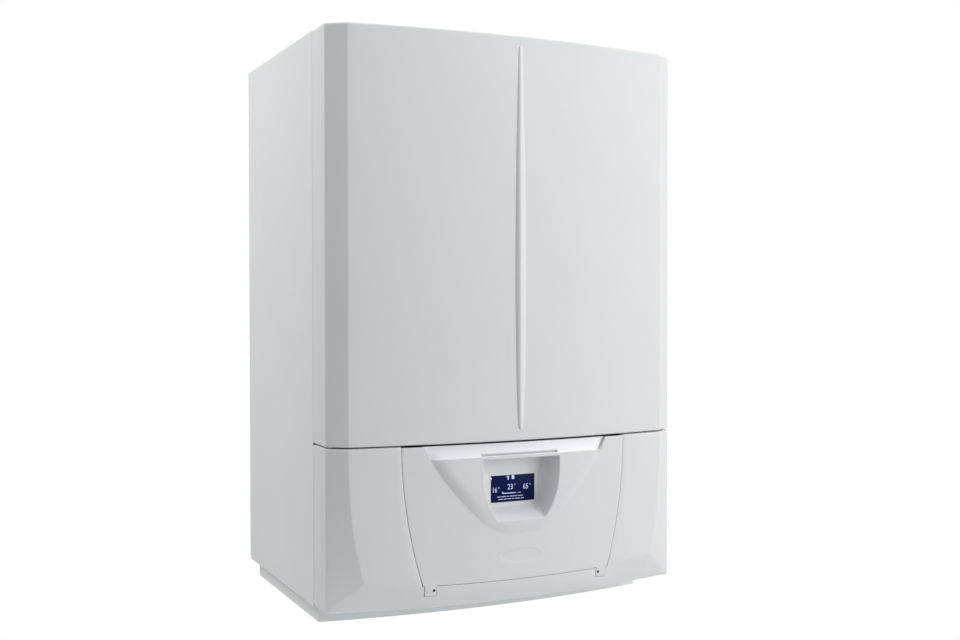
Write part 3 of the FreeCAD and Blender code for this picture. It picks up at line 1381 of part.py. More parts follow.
def control_knob(label, sign):
    """Rotary control: skirted disc with a finger bar and a spindle through the panel."""
    rim_share, shoulder_share = 0.84, 0.4
    at = (f"{sign} * knob_spread", f"{PANEL_FACE} - knob_seat_gap", "knob_level")
    skirt = turned([("0", "0"), ("knob_radius", "0"), ("knob_radius", f"knob_height * {shoulder_share}"),
                    (f"knob_radius * {rim_share}", f"knob_height * {shoulder_share} + sheet_wall"),
                    ("0", f"knob_height * {shoulder_share} + sheet_wall")], at, "forward")
    bar = box(("knob_grip_width", f"knob_height * (1 - {shoulder_share})", f"2 * knob_radius * {rim_share}"),
              (f"{at[0]} - knob_grip_width / 2", f"{at[1]} - knob_height",
               f"knob_level - knob_radius * {rim_share}"))
    spindle = rod("knob_spindle_radius", "knob_spindle_length",
                  (at[0], f"{at[1]} + knob_spindle_length", at[2]), "forward")
    return node(label, join(skirt, bar, spindle))


def push_button(label, index):
    """Round push button with a stem that slides in the panel."""
    at = (button_across(index), f"{PANEL_FACE} - button_travel - knob_seat_gap", "button_level")
    cap = rod("button_radius", "button_height", at, "forward")
    stem = rod("button_stem_radius", "button_stem_length",
               (at[0], f"{at[1]} + button_stem_length", at[2]), "forward")
    return node(label, join(cap, stem))


def pressure_gauge():
    """Round pressure gauge in the panel: cup, needle on its pin, and glass."""
    full = "gauge_depth + gauge_lip"
    floor = f"({full} - dial_setback)"
    inner = "gauge_radius - gauge_wall"
    pin = "needle_pin_radius + running_clearance"
    start = ("-gauge_across", f"{PANEL_FACE} + gauge_depth", "gauge_level")
    node("pressure_gauge", turned([
        ("0", "0"), ("gauge_radius", "0"), ("gauge_radius", "gauge_depth"),
        ("gauge_radius + gauge_rim", "gauge_depth"), ("gauge_radius + gauge_rim", full), (inner, full),
        (inner, floor), (pin, floor), (pin, f"{floor} - needle_pin_depth"),
        ("0", f"{floor} - needle_pin_depth")], start, "forward"))
    rest = f"{PANEL_FACE} - gauge_lip + dial_setback - needle_rise"
    hub = rod("needle_hub_radius", "needle_wall", (start[0], rest, start[2]), "forward")
    pointer = box(("needle_width", "needle_wall", "needle_length + needle_tail"),
                  (f"{start[0]} - needle_width / 2", f"{rest} - needle_wall", f"{start[2]} - needle_length"))
    axle_start = f"{rest} + needle_rise + needle_pin_depth - running_clearance"
    axle = rod("needle_pin_radius", "needle_rise + needle_pin_depth",
               (start[0], axle_start, start[2]), "forward")
    node("gauge_needle", join(hub, pointer, axle))
    node("gauge_glass", rod(f"{inner} - running_clearance", "gauge_glass_wall",
                            (start[0], f"{PANEL_FACE} - gauge_lip + gauge_glass_wall", start[2]), "forward"))


heat_exchanger()
door_bolts = burner_and_door()
mixture_duct()
fan()
gas_train()
flue()
hydraulic_block()
diverter_valve()
safety_valve()
filling_tap()
condensate_trap()
pipes()
panel_screws = control_panel()
node("screws_and_bolts", group(*door_bolts, *panel_screws))
node("inner_brackets", group(module_bracket(), *control_box()))
display_module()
control_knob("heating_knob", -1)
control_knob("hot_water_knob", 1)
for number_of_button, button_label in enumerate(BUTTONS):
    push_button(button_label, number_of_button)
pressure_gauge()


doc.recompute()
for piece in doc.Objects:
    if "Invalid" in piece.State or "Error" in piece.State:
        raise RuntimeError(f"{piece.Name} ({piece.Label}) failed: {piece.State}")
for label, piece in NODES.items():
    if piece.Shape.isNull() or not piece.Shape.isValid():
        raise RuntimeError(f"{label} has no sound shape")
os.makedirs("parts", exist_ok=True)
for label, piece in NODES.items():
    piece.Shape.exportStep(os.path.join("parts", f"{label}.step"))
    print(label, len(piece.Shape.Solids), round(piece.Shape.Volume))
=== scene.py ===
"""Wall-hung combi boiler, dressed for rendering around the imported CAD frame.

Metres, +X to the right seen from the front, +Z up, the wall at y = 0 and the front towards -Y.
The sheet-metal and moulded skins are new pieces; what sits inside keeps its CAD shape and gets
its real finish.
"""
import logging
import math
from dataclasses import dataclass, field
from enum import Enum
from typing import Iterable, Sequence

import bmesh
import bpy
from mathutils import Matrix, Vector


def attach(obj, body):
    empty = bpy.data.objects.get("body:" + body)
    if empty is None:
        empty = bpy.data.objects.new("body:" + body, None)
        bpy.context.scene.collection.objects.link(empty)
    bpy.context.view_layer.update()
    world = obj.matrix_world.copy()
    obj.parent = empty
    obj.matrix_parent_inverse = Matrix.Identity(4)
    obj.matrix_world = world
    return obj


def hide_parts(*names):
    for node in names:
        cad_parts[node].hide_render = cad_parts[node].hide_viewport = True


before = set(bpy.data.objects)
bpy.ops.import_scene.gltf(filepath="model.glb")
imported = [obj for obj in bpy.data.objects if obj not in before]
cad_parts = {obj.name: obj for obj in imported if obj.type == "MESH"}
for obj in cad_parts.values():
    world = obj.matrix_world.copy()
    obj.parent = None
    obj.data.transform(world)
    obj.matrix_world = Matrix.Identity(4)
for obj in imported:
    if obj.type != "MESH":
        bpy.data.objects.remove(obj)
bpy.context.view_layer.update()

log = logging.getLogger("boiler")
MM = 0.001
MM_PER_METRE = 1000.0
UP = Vector((0, 0, 1))
FORWARD = Vector((0, -1, 0))
WHITE = (1.0, 1.0, 1.0, 1.0)
# Handling and storage leave broad faint patches on every surface, about a hand across.
PATCHES_PER_METRE = 9.0
LEAST_ROUGHNESS = 0.02


def linear(code: str) -> tuple[float, float, float, float]:
    """Turn an sRGB hex colour into the linear colour that a shader socket takes.

    Args:
        code: six hex digits after a hash sign.

    Returns:
        Red, green, blue and a full alpha.
    """
    shares = [int(code[i:i + 2], 16) / 255 for i in (1, 3, 5)]
    # The sRGB curve: straight near black, a power above.
    bent = [c / 12.92 if c <= 0.04045 else ((c + 0.055) / 1.055) ** 2.4 for c in shares]
    return (*bent, 1.0)


def add_node(tree: bpy.types.NodeTree, kind: str, settings: dict | None = None,
             sockets: dict | None = None) -> bpy.types.Node:
    """Add a shader node with its settings, and set or link its inputs.

    Args:
        tree: node tree that takes the node.
        kind: Blender's name of the node type.
        settings: properties of the node.
        sockets: inputs by name or number; an output socket as value makes a link.

    Returns:
        The new node.
    """
    made = tree.nodes.new(kind)
    for key, value in (settings or {}).items():
        setattr(made, key, value)
    for key, value in (sockets or {}).items():
        if isinstance(value, bpy.types.NodeSocket):
            tree.links.new(value, made.inputs[key])
        else:
            made.inputs[key].default_value = value
    return made


class Pattern(Enum):
    """How a surface was made, which settles what its small unevenness looks like."""

    PEEL = "sprayed or powder-coated: low soft waves"
    GRAIN = "moulded: fine even spark-eroded grain"
    SPANGLE = "hot-dip galvanised: flat crystals of differing grey"
    BRUSHED = "brushed or drawn: long fine lines"
    CAST = "cast: coarse uneven skin"
    BEADS = "foamed: beads pressed against each other"


@dataclass(frozen=True)
class Finish:
    """One real material and how its surface was made.

    The pattern's size is the real distance between two of its features, in millimetres. Colours
    are sRGB hex values, shade is the second colour that the pattern mixes in.
    """

    name: str
    colour: str
    shade: str
    pattern: Pattern
    pattern_mm: float
    roughness: float
    metallic: float = 0.0
    ior: float = 1.5
    relief_mm: float = 0.02
    spread: float = 0.05
    glow: float = 0.0
    clear: float = 0.0
    stretch: tuple[float, float, float] = (1.0, 1.0, 1.0)

    def material(self) -> bpy.types.Material:
        """Return this finish's material, made on first use."""
        return bpy.data.materials.get(self.name) or self._make()

    def _texture(self, tree: bpy.types.NodeTree, place: bpy.types.NodeSocket) -> tuple[
            bpy.types.NodeSocket, bpy.types.NodeSocket]:
        """Add the pattern of the surface to the finish's tree.

        Args:
            tree: node tree of the material.
            place: Object coordinates of the piece.

        Returns:
            Height of the relief, and how much of the shade the colour takes.
        """
        along = add_node(tree, "ShaderNodeMapping", {"vector_type": "POINT"},
                         {"Vector": place, "Scale": self.stretch}).outputs["Vector"]
        per_metre = MM_PER_METRE / self.pattern_mm
        if self.pattern in (Pattern.SPANGLE, Pattern.BEADS):
            cells = add_node(tree, "ShaderNodeTexVoronoi", {"feature": "F1"},
                             {"Vector": along, "Scale": per_metre}).outputs
            # Each crystal has a grey of its own, a bead is darkest at its middle.
            return cells["Distance"], cells["Color" if self.pattern is Pattern.SPANGLE else "Distance"]
        detail = 4.0 if self.pattern in (Pattern.CAST, Pattern.BRUSHED) else 1.0
        waves = add_node(tree, "ShaderNodeTexNoise", None,
                         {"Vector": along, "Scale": per_metre, "Detail": detail}).outputs["Fac"]
        return waves, waves

    def _make(self) -> bpy.types.Material:
        """Build the node tree of the finish.

        Returns:
            The new material.
        """
        made = bpy.data.materials.new(self.name)
        made.use_nodes = True
        tree = made.node_tree
        tree.nodes.clear()
        place = add_node(tree, "ShaderNodeTexCoord").outputs["Object"]
        height, tone = self._texture(tree, place)
        patches = add_node(tree, "ShaderNodeTexNoise", None,
                           {"Vector": place, "Scale": PATCHES_PER_METRE, "Detail": 2.0}).outputs["Fac"]
        blend = add_node(tree, "ShaderNodeMath", {"operation": "MULTIPLY"}, {0: tone, 1: patches})
        base = add_node(tree, "ShaderNodeMix", {"data_type": "RGBA"},
                        {"Factor": blend.outputs[0], 6: linear(self.colour), 7: linear(self.shade)})
        rough = add_node(tree, "ShaderNodeMapRange", None,
                         {"Value": patches, "To Min": max(LEAST_ROUGHNESS, self.roughness - self.spread),
                          "To Max": min(1.0, self.roughness + self.spread)})
        bump = add_node(tree, "ShaderNodeBump", None,
                        {"Strength": 1.0, "Distance": self.relief_mm * MM, "Height": height})
        shader = add_node(tree, "ShaderNodeBsdfPrincipled", None,
                          {"Base Color": base.outputs[2], "Roughness": rough.outputs["Result"],
                           "Normal": bump.outputs["Normal"], "Metallic": self.metallic,
                           "IOR": self.ior, "Transmission Weight": self.clear,
                           "Emission Strength": self.glow, "Emission Color": linear(self.colour)})
        add_node(tree, "ShaderNodeOutputMaterial", None, {"Surface": shader.outputs["BSDF"]})
        return made


# Powder-coated sheet steel: satin, with a low orange peel about 2 mm across.
CASING = Finish("powder_coated_steel", "#E2E4E5", "#DBDDDE", Pattern.PEEL, 2.2, 0.42, relief_mm=0.012)
# Painted ABS of the front covers: the same white, a little softer, with a finer skin.
COVER = Finish("satin_abs", "#E3E5E6", "#DCDEDF", Pattern.GRAIN, 1.2, 0.58, ior=1.38, relief_mm=0.006)
# Polished ABS of the finger strip on the flap, smoother than the covers round it; its whiter colour is a
# painted highlight for the light that the upward-facing ledge catches.
PAINTED_HIGHLIGHT_STRIP = Finish("polished_abs_painted_highlight", "#F7F9FB", "#F2F4F6", Pattern.GRAIN, 1.2, 0.42, ior=1.42, relief_mm=0.004)
# Hot-dip galvanised sheet: grey crystals about 12 mm across, half gloss.
GALVANISED = Finish("galvanised_sheet", "#B4B8BA", "#8F9497", Pattern.SPANGLE, 12.0, 0.38, 1.0,
                    relief_mm=0.01, spread=0.08)
# Zinc-plated fasteners: bright bluish metal with turning marks.
ZINC = Finish("zinc_plated_steel", "#C3C7C9", "#A9AEB0", Pattern.BRUSHED, 0.6, 0.3, 1.0, relief_mm=0.01)
# Rolled stainless steel: fine lines round the drawn wall, drawn coarser than real so that they show.
STAINLESS = Finish("stainless_steel", "#C9C8C4", "#A8A7A3", Pattern.BRUSHED, 1.0, 0.28, 1.0,
                   relief_mm=0.008, stretch=(0.06, 0.06, 1.0))
# Expanded polypropylene jacket: dark grey beads of about 4 mm, dull.
FOAM = Finish("expanded_polypropylene", "#4A4D50", "#34373A", Pattern.BEADS, 4.0, 0.85, relief_mm=0.35)
# Stove-enamelled vessel: signal red, glossy with a slight peel.
VESSEL = Finish("red_stove_enamel", "#A3241F", "#8C1C19", Pattern.PEEL, 3.0, 0.25, relief_mm=0.02)
# Sand-cast aluminium: grainy light grey skin.
CAST = Finish("cast_aluminium", "#B9BBBC", "#8E9193", Pattern.CAST, 1.6, 0.5, 1.0, relief_mm=0.12)
# Glazed alumina: white and smooth, with a hint of specks.
CERAMIC = Finish("alumina_ceramic", "#EAE8E1", "#D9D6CC", Pattern.GRAIN, 1.5, 0.3, relief_mm=0.01)
# Glass-filled nylon: black, matt, with a fibrous grain.
BLACK = Finish("glass_filled_nylon", "#1D1E20", "#2A2B2D", Pattern.GRAIN, 0.8, 0.55, relief_mm=0.02)
# White-coated flue pipe: glossier than the casing.
FLUE = Finish("white_coated_aluminium", "#E6E7E6", "#DEDFDE", Pattern.PEEL, 2.5, 0.3, relief_mm=0.012)
# EPDM lip seal: black and dull with a bloom.
RUBBER = Finish("epdm_rubber", "#18181A", "#262729", Pattern.GRAIN, 1.0, 0.75, relief_mm=0.03)
# Forged brass: yellow, shot-blasted skin.
BRASS = Finish("forged_brass", "#C7A556", "#A8873F", Pattern.CAST, 1.0, 0.36, 1.0, relief_mm=0.05)
# Drawn copper tube: warm, with drawing lines and darker handling patches.
COPPER = Finish("drawn_copper", "#C98056", "#9A5B3C", Pattern.BRUSHED, 1.2, 0.3, 1.0, relief_mm=0.01,
                spread=0.12, stretch=(1.0, 1.0, 0.05))
# Painted cast iron of the pump: black with a coarse skin under the paint.
IRON = Finish("painted_cast_iron", "#232629", "#33373A", Pattern.CAST, 2.4, 0.5, relief_mm=0.15)
# Moulded grey polyamide.
GREY = Finish("grey_polyamide", "#8D9295", "#82878A", Pattern.GRAIN, 0.9, 0.5, relief_mm=0.015)
# Moulded red and blue polyamide of the hand knobs.
RED = Finish("red_polyamide", "#B5261E", "#9E1F19", Pattern.GRAIN, 0.9, 0.42, relief_mm=0.012)
BLUE = Finish("blue_polyamide", "#1F4FA3", "#1A448E", Pattern.GRAIN, 0.9, 0.42, relief_mm=0.012)
# Solder-masked circuit board: dark green with a faint weave under the lacquer.
BOARD = Finish("solder_masked_board", "#1F5A36", "#184A2C", Pattern.GRAIN, 0.7, 0.35, relief_mm=0.01)
# Display glass over a blue liquid-crystal layer, lit from behind.
SCREEN = Finish("blue_liquid_crystal", "#0F1A48", "#0B143A", Pattern.GRAIN, 6.0, 0.3, ior=1.12,
                relief_mm=0.001, glow=0.2)
# Lit segments of the display.
LIT = Finish("lit_segments", "#BFC8EA", "#B6C0E4", Pattern.GRAIN, 6.0, 0.5, relief_mm=0.001, glow=0.45)
# Light grey ABS of the panel behind the flap, and of its controls.
PANEL = Finish("light_grey_abs", "#C9CCCE", "#C2C5C7", Pattern.GRAIN, 1.0, 0.48, relief_mm=0.015)
CONTROL = Finish("white_abs_controls", "#E6E7E7", "#DFE0E0", Pattern.GRAIN, 1.0, 0.42, relief_mm=0.01)
# Printed marks: flat dark grey ink.
INK = Finish("printed_ink", "#3A3D41", "#44474B", Pattern.GRAIN, 0.8, 0.6, relief_mm=0.002)
# Enamelled pointer.
POINTER = Finish("red_enamel", "#C0221C", "#B01E19", Pattern.PEEL, 1.0, 0.35, relief_mm=0.002)
# Polycarbonate gauge window: clear, with a soft moulded waviness.
WINDOW = Finish("clear_polycarbonate", "#FFFFFF", "#F8FBFF", Pattern.PEEL, 8.0, 0.05, ior=1.585,
                relief_mm=0.002, spread=0.02, clear=1.0)


class SubAssembly:
    """What the sub-assemblies share: turning a bmesh into a finished piece of the model."""

    def piece(self, bm: bmesh.types.BMesh, name: str, body: str, slot: str, finish: Finish,
              replaced: Sequence[str] = (), wall: float = 0.0, crease: float = 32.0) -> bpy.types.Object:
        """Make a piece from a bmesh, dress it and let it ride on its body.

        Args:
            bm: the shape, in metres in the CAD frame. It is freed here.
            name: name of the piece.
            body: CAD body that carries it.
            slot: material slot of the record; not used.
            finish: what it is made of.
            replaced: CAD nodes that it stands for.
            wall: thickness that the Solidify modifier gives an open skin, towards its inside.
            crease: angle in degrees from which an edge stays sharp.

        Returns:
            The new object.
        """
        for face in bm.faces:
            face.smooth = True
        for edge in bm.edges:
            # A border stays sharp, so that the rim of the wall doesn't shade the skin beside it.
            edge.smooth = len(edge.link_faces) == 2 and edge.calc_face_angle() < math.radians(crease)
        mesh = bpy.data.meshes.new(name)
        bm.to_mesh(mesh)
        bm.free()
        made = bpy.data.objects.new(name, mesh)
        bpy.context.scene.collection.objects.link(made)
        mesh.materials.append(finish.material())
        if wall:
            skin = made.modifiers.new("wall", "SOLIDIFY")
            skin.thickness = wall
            skin.offset = -1.0
        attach(made, body)
        if replaced:
            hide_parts(*replaced)
        log.info("%s rides on %s", name, body)
        return made

    @staticmethod
    def bent_grid(places: Sequence[Sequence[Vector]]) -> bmesh.types.BMesh:
        """Make a grid and move each of its crossings to its place.

        Args:
            places: rows of places from the lowest up, each from left to right.

        Returns:
            The bent grid, with its outside towards the viewer.
        """
        rows, columns = len(places), len(places[0])
        bm = bmesh.new()
        bmesh.ops.create_grid(bm, x_segments=columns - 1, y_segments=rows - 1, size=0.5)
        for vert in bm.verts:
            row = round((vert.co.y + 0.5) * (rows - 1))
            column = round((vert.co.x + 0.5) * (columns - 1))
            vert.co = places[row][column]
        bm.normal_update()
        return bm

    @staticmethod
    def close_end(bm: bmesh.types.BMesh, rim: Iterable[bmesh.types.BMVert], middle: float) -> None:
        """Close the open upper or lower end of a cover with one face, and turn all faces outwards.

        Args:
            bm: the cover's skin.
            rim: corners of the open end, in any order.
            middle: depth of a point inside the end, on the centre line.
        """
        bm.faces.new(sorted(rim, key=lambda vert: math.atan2(vert.co.x, -middle - vert.co.y)))
        bmesh.ops.recalc_face_normals(bm, faces=bm.faces)

    @staticmethod
    def rounded(bm: bmesh.types.BMesh, edges: Sequence[bmesh.types.BMEdge], radius: float) -> None:
        """Round edges off.

        Args:
            bm: bmesh that the edges are in.
            edges: edges to round.
            radius: radius that they get.
        """
        bmesh.ops.bevel(bm, geom=edges, offset=radius, offset_type="OFFSET", segments=3, profile=0.5,
                        affect="EDGES", clamp_overlap=True, material=-1)

    @staticmethod
    def skirt(bm: bmesh.types.BMesh, border: Sequence[bmesh.types.BMEdge], reach: float,
              radius: float) -> None:
        """Turn border edges back into a short return with a rounded corner.

        Args:
            bm: the open skin.
            border: its border edges.
            reach: how far the return goes towards the wall.
            radius: radius of the rounded corner.
        """
        grown = bmesh.ops.extrude_edge_only(bm, edges=border)["geom"]
        bmesh.ops.translate(bm, vec=-FORWARD * reach,
                            verts=[g for g in grown if isinstance(g, bmesh.types.BMVert)])
        SubAssembly.rounded(bm, [edge for edge in border if edge.is_valid], radius)

    @staticmethod
    def bar(bm: bmesh.types.BMesh, size: Vector, middle: Vector, radius: float,
            turn: Matrix | None = None) -> None:
        """Add a block with rounded edges to a bmesh.

        Args:
            bm: bmesh that takes the block.
            size: its three lengths.
            middle: its middle.
            radius: radius of its edges, 0 for sharp ones.
            turn: rotation about its middle.
        """
        block = bmesh.new()
        bmesh.ops.create_cube(block, size=1.0)
        bmesh.ops.scale(block, vec=size, verts=block.verts)
        if radius:
            SubAssembly.rounded(block, block.edges[:], radius)
        SubAssembly.add(bm, block, Matrix.Translation(middle) @ (turn or Matrix()))

    @staticmethod
    def add(bm: bmesh.types.BMesh, other: bmesh.types.BMesh, lie: Matrix) -> None:
        """Put another bmesh into a bmesh.

        Args:
            bm: bmesh that takes the other.
            other: the other bmesh. It is freed here.
            lie: where the other comes to lie.
        """
        bmesh.ops.transform(other, matrix=lie, verts=other.verts)
        between = bpy.data.meshes.new("between")
        other.to_mesh(between)
        other.free()
        bm.from_mesh(between)
        bpy.data.meshes.remove(between)

    @staticmethod
    def turned(bm: bmesh.types.BMesh, outline: Sequence[tuple[float, float]], at: Vector,
               axis: Vector, steps: int) -> None:
        """Add a shape turned about an axis to a bmesh.

        Args:
            bm: bmesh that takes the shape.
            outline: radius and height of each corner, from the axis out and back to it.
            at: foot of the axis.
            axis: direction of the axis.
            steps: faces round it.
        """
        turned = bmesh.new()
        corners = [turned.verts.new((radius, 0.0, height)) for radius, height in outline]
        edges = [turned.edges.new(pair) for pair in zip(corners, corners[1:])]
        bmesh.ops.spin(turned, geom=corners + edges, cent=(0, 0, 0), axis=UP, angle=2 * math.pi,
                       steps=steps, use_merge=True)
        bmesh.ops.remove_doubles(turned, verts=turned.verts, dist=1e-6)
        bmesh.ops.recalc_face_normals(turned, faces=turned.faces)
        lay = UP.rotation_difference(axis).to_matrix().to_4x4()
        SubAssembly.add(bm, turned, Matrix.Translation(at) @ lay)


@dataclass
class FrontPlan:
    """Plan of the bowed front that the covers and the flap share. Depths are from the wall."""

    half_width: float = 0.300
    side_depth: float = 0.4343
    front_depth: float = 0.4776
    back: float = 0.3754
    corner_width: float = 0.0289
    bow_rise: float = 0.0235
    side_radius: float = 0.0016
    front_radius: float = 0.0022

    @property
    def bow_radius(self) -> float:
        """Radius of the bowed front."""
        edge = self.half_width - self.corner_width
        return (edge ** 2 + self.bow_rise ** 2) / (2 * self.bow_rise)

    def depth(self, across: float) -> float:
        """Depth of the bowed front at a distance from the centre line."""
        radius = self.bow_radius
        return self.front_depth - radius + math.sqrt(radius ** 2 - across ** 2)

    def half(self, corner: float, stations: Sequence[float]) -> list[Vector]:
        """Points of the right half of a cover's plan, from its rear edge to the centre line.

        Args:
            corner: width of the slanted corner.
            stations: distances from the centre line of the points on the front, falling to 0.

        Returns:
            Points as across and depth.
        """
        edge = self.half_width - corner
        rear = Vector((self.half_width, self.back))
        side = Vector((self.half_width, self.side_depth))
        bend = Vector((edge, self.depth(edge)))
        front = [Vector((x, self.depth(x))) for x in stations]
        points = [rear, rear.lerp(side, 0.5)]
        points += self._rounded(points[-1], side, bend, self.side_radius)
        points.append(side.lerp(bend, 0.5))
        points += self._rounded(side, bend, front[0], self.front_radius)
        return points + front

    @staticmethod
    def _rounded(before: Vector, corner: Vector, after: Vector, radius: float) -> list[Vector]:
        """Points of a rounded corner between two straight runs.

        Args:
            before: a point on the run towards the corner.
            corner: where the two runs would meet.
            after: a point on the run away from it.
            radius: how far from the corner the rounding starts and ends.

        Returns:
            Points along the rounding.
        """
        first = corner + (before - corner).normalized() * radius
        last = corner + (after - corner).normalized() * radius
        shares = (0.0, 0.25, 0.5, 0.75, 1.0)
        return [first * (1 - t) ** 2 + corner * 2 * t * (1 - t) + last * t ** 2 for t in shares]


def mirrored(half: Sequence[Vector]) -> list[Vector]:
    """Complete a half plan, given from the right rear to the centre line, from left to right."""
    return [Vector((-p.x, p.y)) for p in half[:-1]] + list(reversed(half))


def inset_plan(points: Sequence[Vector], inset: float) -> list[Vector]:
    """Move the points of a plan inwards, square to the line through their neighbours.

    Args:
        points: the plan, from left to right.
        inset: how far each point moves.

    Returns:
        The moved points.
    """
    moved = []
    for index, point in enumerate(points):
        before = points[max(index - 1, 0)]
        after = points[min(index + 1, len(points) - 1)]
        along = (after - before).normalized()
        moved.append(point + Vector((along.y, -along.x)) * inset)
    return moved


def held(share: float) -> float:
    """Hold a share between 0 and 1."""
    return min(max(share, 0.0), 1.0)


def eased(share: float) -> float:
    """Ease a share from 0 to 1 in and out."""
    kept = held(share)
    return kept * kept * (3 - 2 * kept)


def soft_min(first: float, second: float, blend: float) -> float:
    """Take the lesser of two values, rounded off where they come within a blend of each other."""
    return min(first, second) - max(blend - abs(first - second), 0.0) ** 2 / (4 * blend)


def between(table: Sequence[tuple[float, float]], at: float) -> float:
    """Read a table of pairs at a value, with straight runs between its rows.

    Args:
        table: pairs of a rising value and what it gives.
        at: value at which the table is read.

    Returns:
        What the table gives there, held at its ends.
    """
    if at <= table[0][0]:
        return table[0][1]
    for (low, first), (high, last) in zip(table, table[1:]):
        if at <= high:
            return first + (last - first) * (at - low) / (high - low)
    return table[-1][1]


def levels(low: float, high: float, step: float) -> list[float]:
    """Spread levels evenly from low to high.

    Args:
        low: first level.
        high: last level.
        step: most that two of them may lie apart.

    Returns:
        The levels, with both ends.
    """
    count = max(1, math.ceil((high - low) / step - 1e-6))
    return [low + (high - low) * i / count for i in range(count + 1)]


def snap(values: list[float], wanted: float) -> None:
    """Move the nearest of some values onto a wanted one."""
    nearest = min(range(len(values)), key=lambda i: abs(values[i] - wanted))
    values[nearest] = wanted


@dataclass
class UpperCover(SubAssembly):
    """Bowed upper front with its side returns, rolled edges and lens-shaped centre ridge."""

    plan: FrontPlan
    base: float = 0.2476
    top: float = 0.868
    wall: float = 0.002
    hem: float = 0.012
    roll: float = 0.0026
    # How far round a rolled edge its middle row lies, as a share of the roll.
    roll_share: float = 0.3
    # A firm row beside each rolled edge keeps the shading of the face flat.
    firm: float = 0.0008
    row_step: float = 0.02
    ridge_foot: float = 0.2642
    ridge_length: float = 0.589
    ridge_half: float = 0.0114
    ridge_height: float = 0.0056
    # The crest leans to the left by this share of its height, which makes that flank the steeper one.
    ridge_lean: float = 0.5
    # Shares of the ridge's length and of its width: rounded at the foot, blunt at the top.
    ridge_shares: Sequence[tuple[float, float]] = (
        (0, 0.02), (0.002, 0.24), (0.006, 0.36), (0.015, 0.45), (0.05, 0.53), (0.15, 0.66), (0.3, 0.77),
        (0.4, 0.79), (0.62, 0.73), (0.75, 0.62), (0.9, 0.43), (0.96, 0.35), (0.996, 0.29), (1, 0.02))
    # Stations across half the ridge and how high each lies: nearly straight flanks, a narrow round top.
    ridge_section: Sequence[tuple[float, float]] = (
        (1.08, 0), (1, 0), (0.93, 0.1), (0.82, 0.255), (0.6, 0.55), (0.4, 0.79), (0.2, 0.95), (0, 1))
    front_stations: Sequence[float] = (0.262, 0.24, 0.21, 0.18, 0.15, 0.12, 0.09, 0.06, 0.035, 0.02)

    def _rows(self) -> list[tuple[float, float]]:
        """List the rows of the cover's grid.

        Returns:
            Level and inset of each row, from the lower hem to the rolled top edge.
        """
        low, high, roll, part = self.base, self.top, self.roll, self.roll_share * self.roll
        foot = [(low, self.hem), (low, roll), (low + part, part), (low + roll, 0.0),
                (low + roll + self.firm, 0.0)]
        ridged = [self.ridge_foot + self.ridge_length * t for t, _ in self.ridge_shares]
        middle = sorted(set(ridged + levels(ridged[0], ridged[-1], self.row_step)))
        head = [(high - roll - self.firm, 0.0), (high - roll, 0.0), (high - part, part), (high, roll)]
        return foot + [(level, 0.0) for level in middle] + head

    def _row(self, level: float, inset: float) -> list[Vector]:
        """Place one row of the cover's grid.

        Args:
            level: height of the row.
            inset: how far the row is drawn in, as at a rolled edge.

        Returns:
            Places from left to right.
        """
        width = between(self.ridge_shares, (level - self.ridge_foot) / self.ridge_length)
        stations = [k * width * self.ridge_half for k, _ in self.ridge_section]
        half = self.plan.half(self.plan.corner_width, [*self.front_stations, *stations])
        proud = [0.0] * (len(half) - len(stations))
        proud += [width * self.ridge_height * high for _, high in self.ridge_section]
        return [Vector((point.x - self.ridge_lean * rise, -rise - point.y, level))
                for point, rise in zip(inset_plan(mirrored(half), inset), proud[:-1] + proud[::-1])]

    def build(self) -> None:
        """Model the cover and let it ride on its own body."""
        bm = self.bent_grid([self._row(level, inset) for level, inset in self._rows()])
        rim = [vert for vert in bm.verts if vert.co.z > self.top - 1e-6]
        self.close_end(bm, rim, self.plan.back + self.roll)
        self.piece(bm, "upper_front_cover_skin", "upper_cover", "casing_paint", COVER,
                   ["upper_front_cover"], wall=self.wall)


@dataclass
class FlapOutline:
    """Outline of the control flap, seen from the front."""

    foot: float = 0.0340
    rise: float = 0.0025
    top: float = 0.2444
    half_foot: float = 0.160
    half_top: float = 0.192
    bulge: float = 0.0077

    def half(self, level: float) -> float:
        """Work out the half-width of the flap, whose sides are slightly bulged.

        Args:
            level: height of the place.

        Returns:
            Distance of the flap's side from the centre line.
        """
        low = self.foot + self.rise
        share = held((level - low) / (self.top - low))
        run = self.half_foot + (self.half_top - self.half_foot) * share
        return run + 4 * self.bulge * share * (1 - share)

    def foot_at(self, across: float) -> float:
        """Level of the flap's curved foot at a distance from the centre line."""
        return self.foot + self.rise * min(1.0, (across / self.half_foot) ** 2)


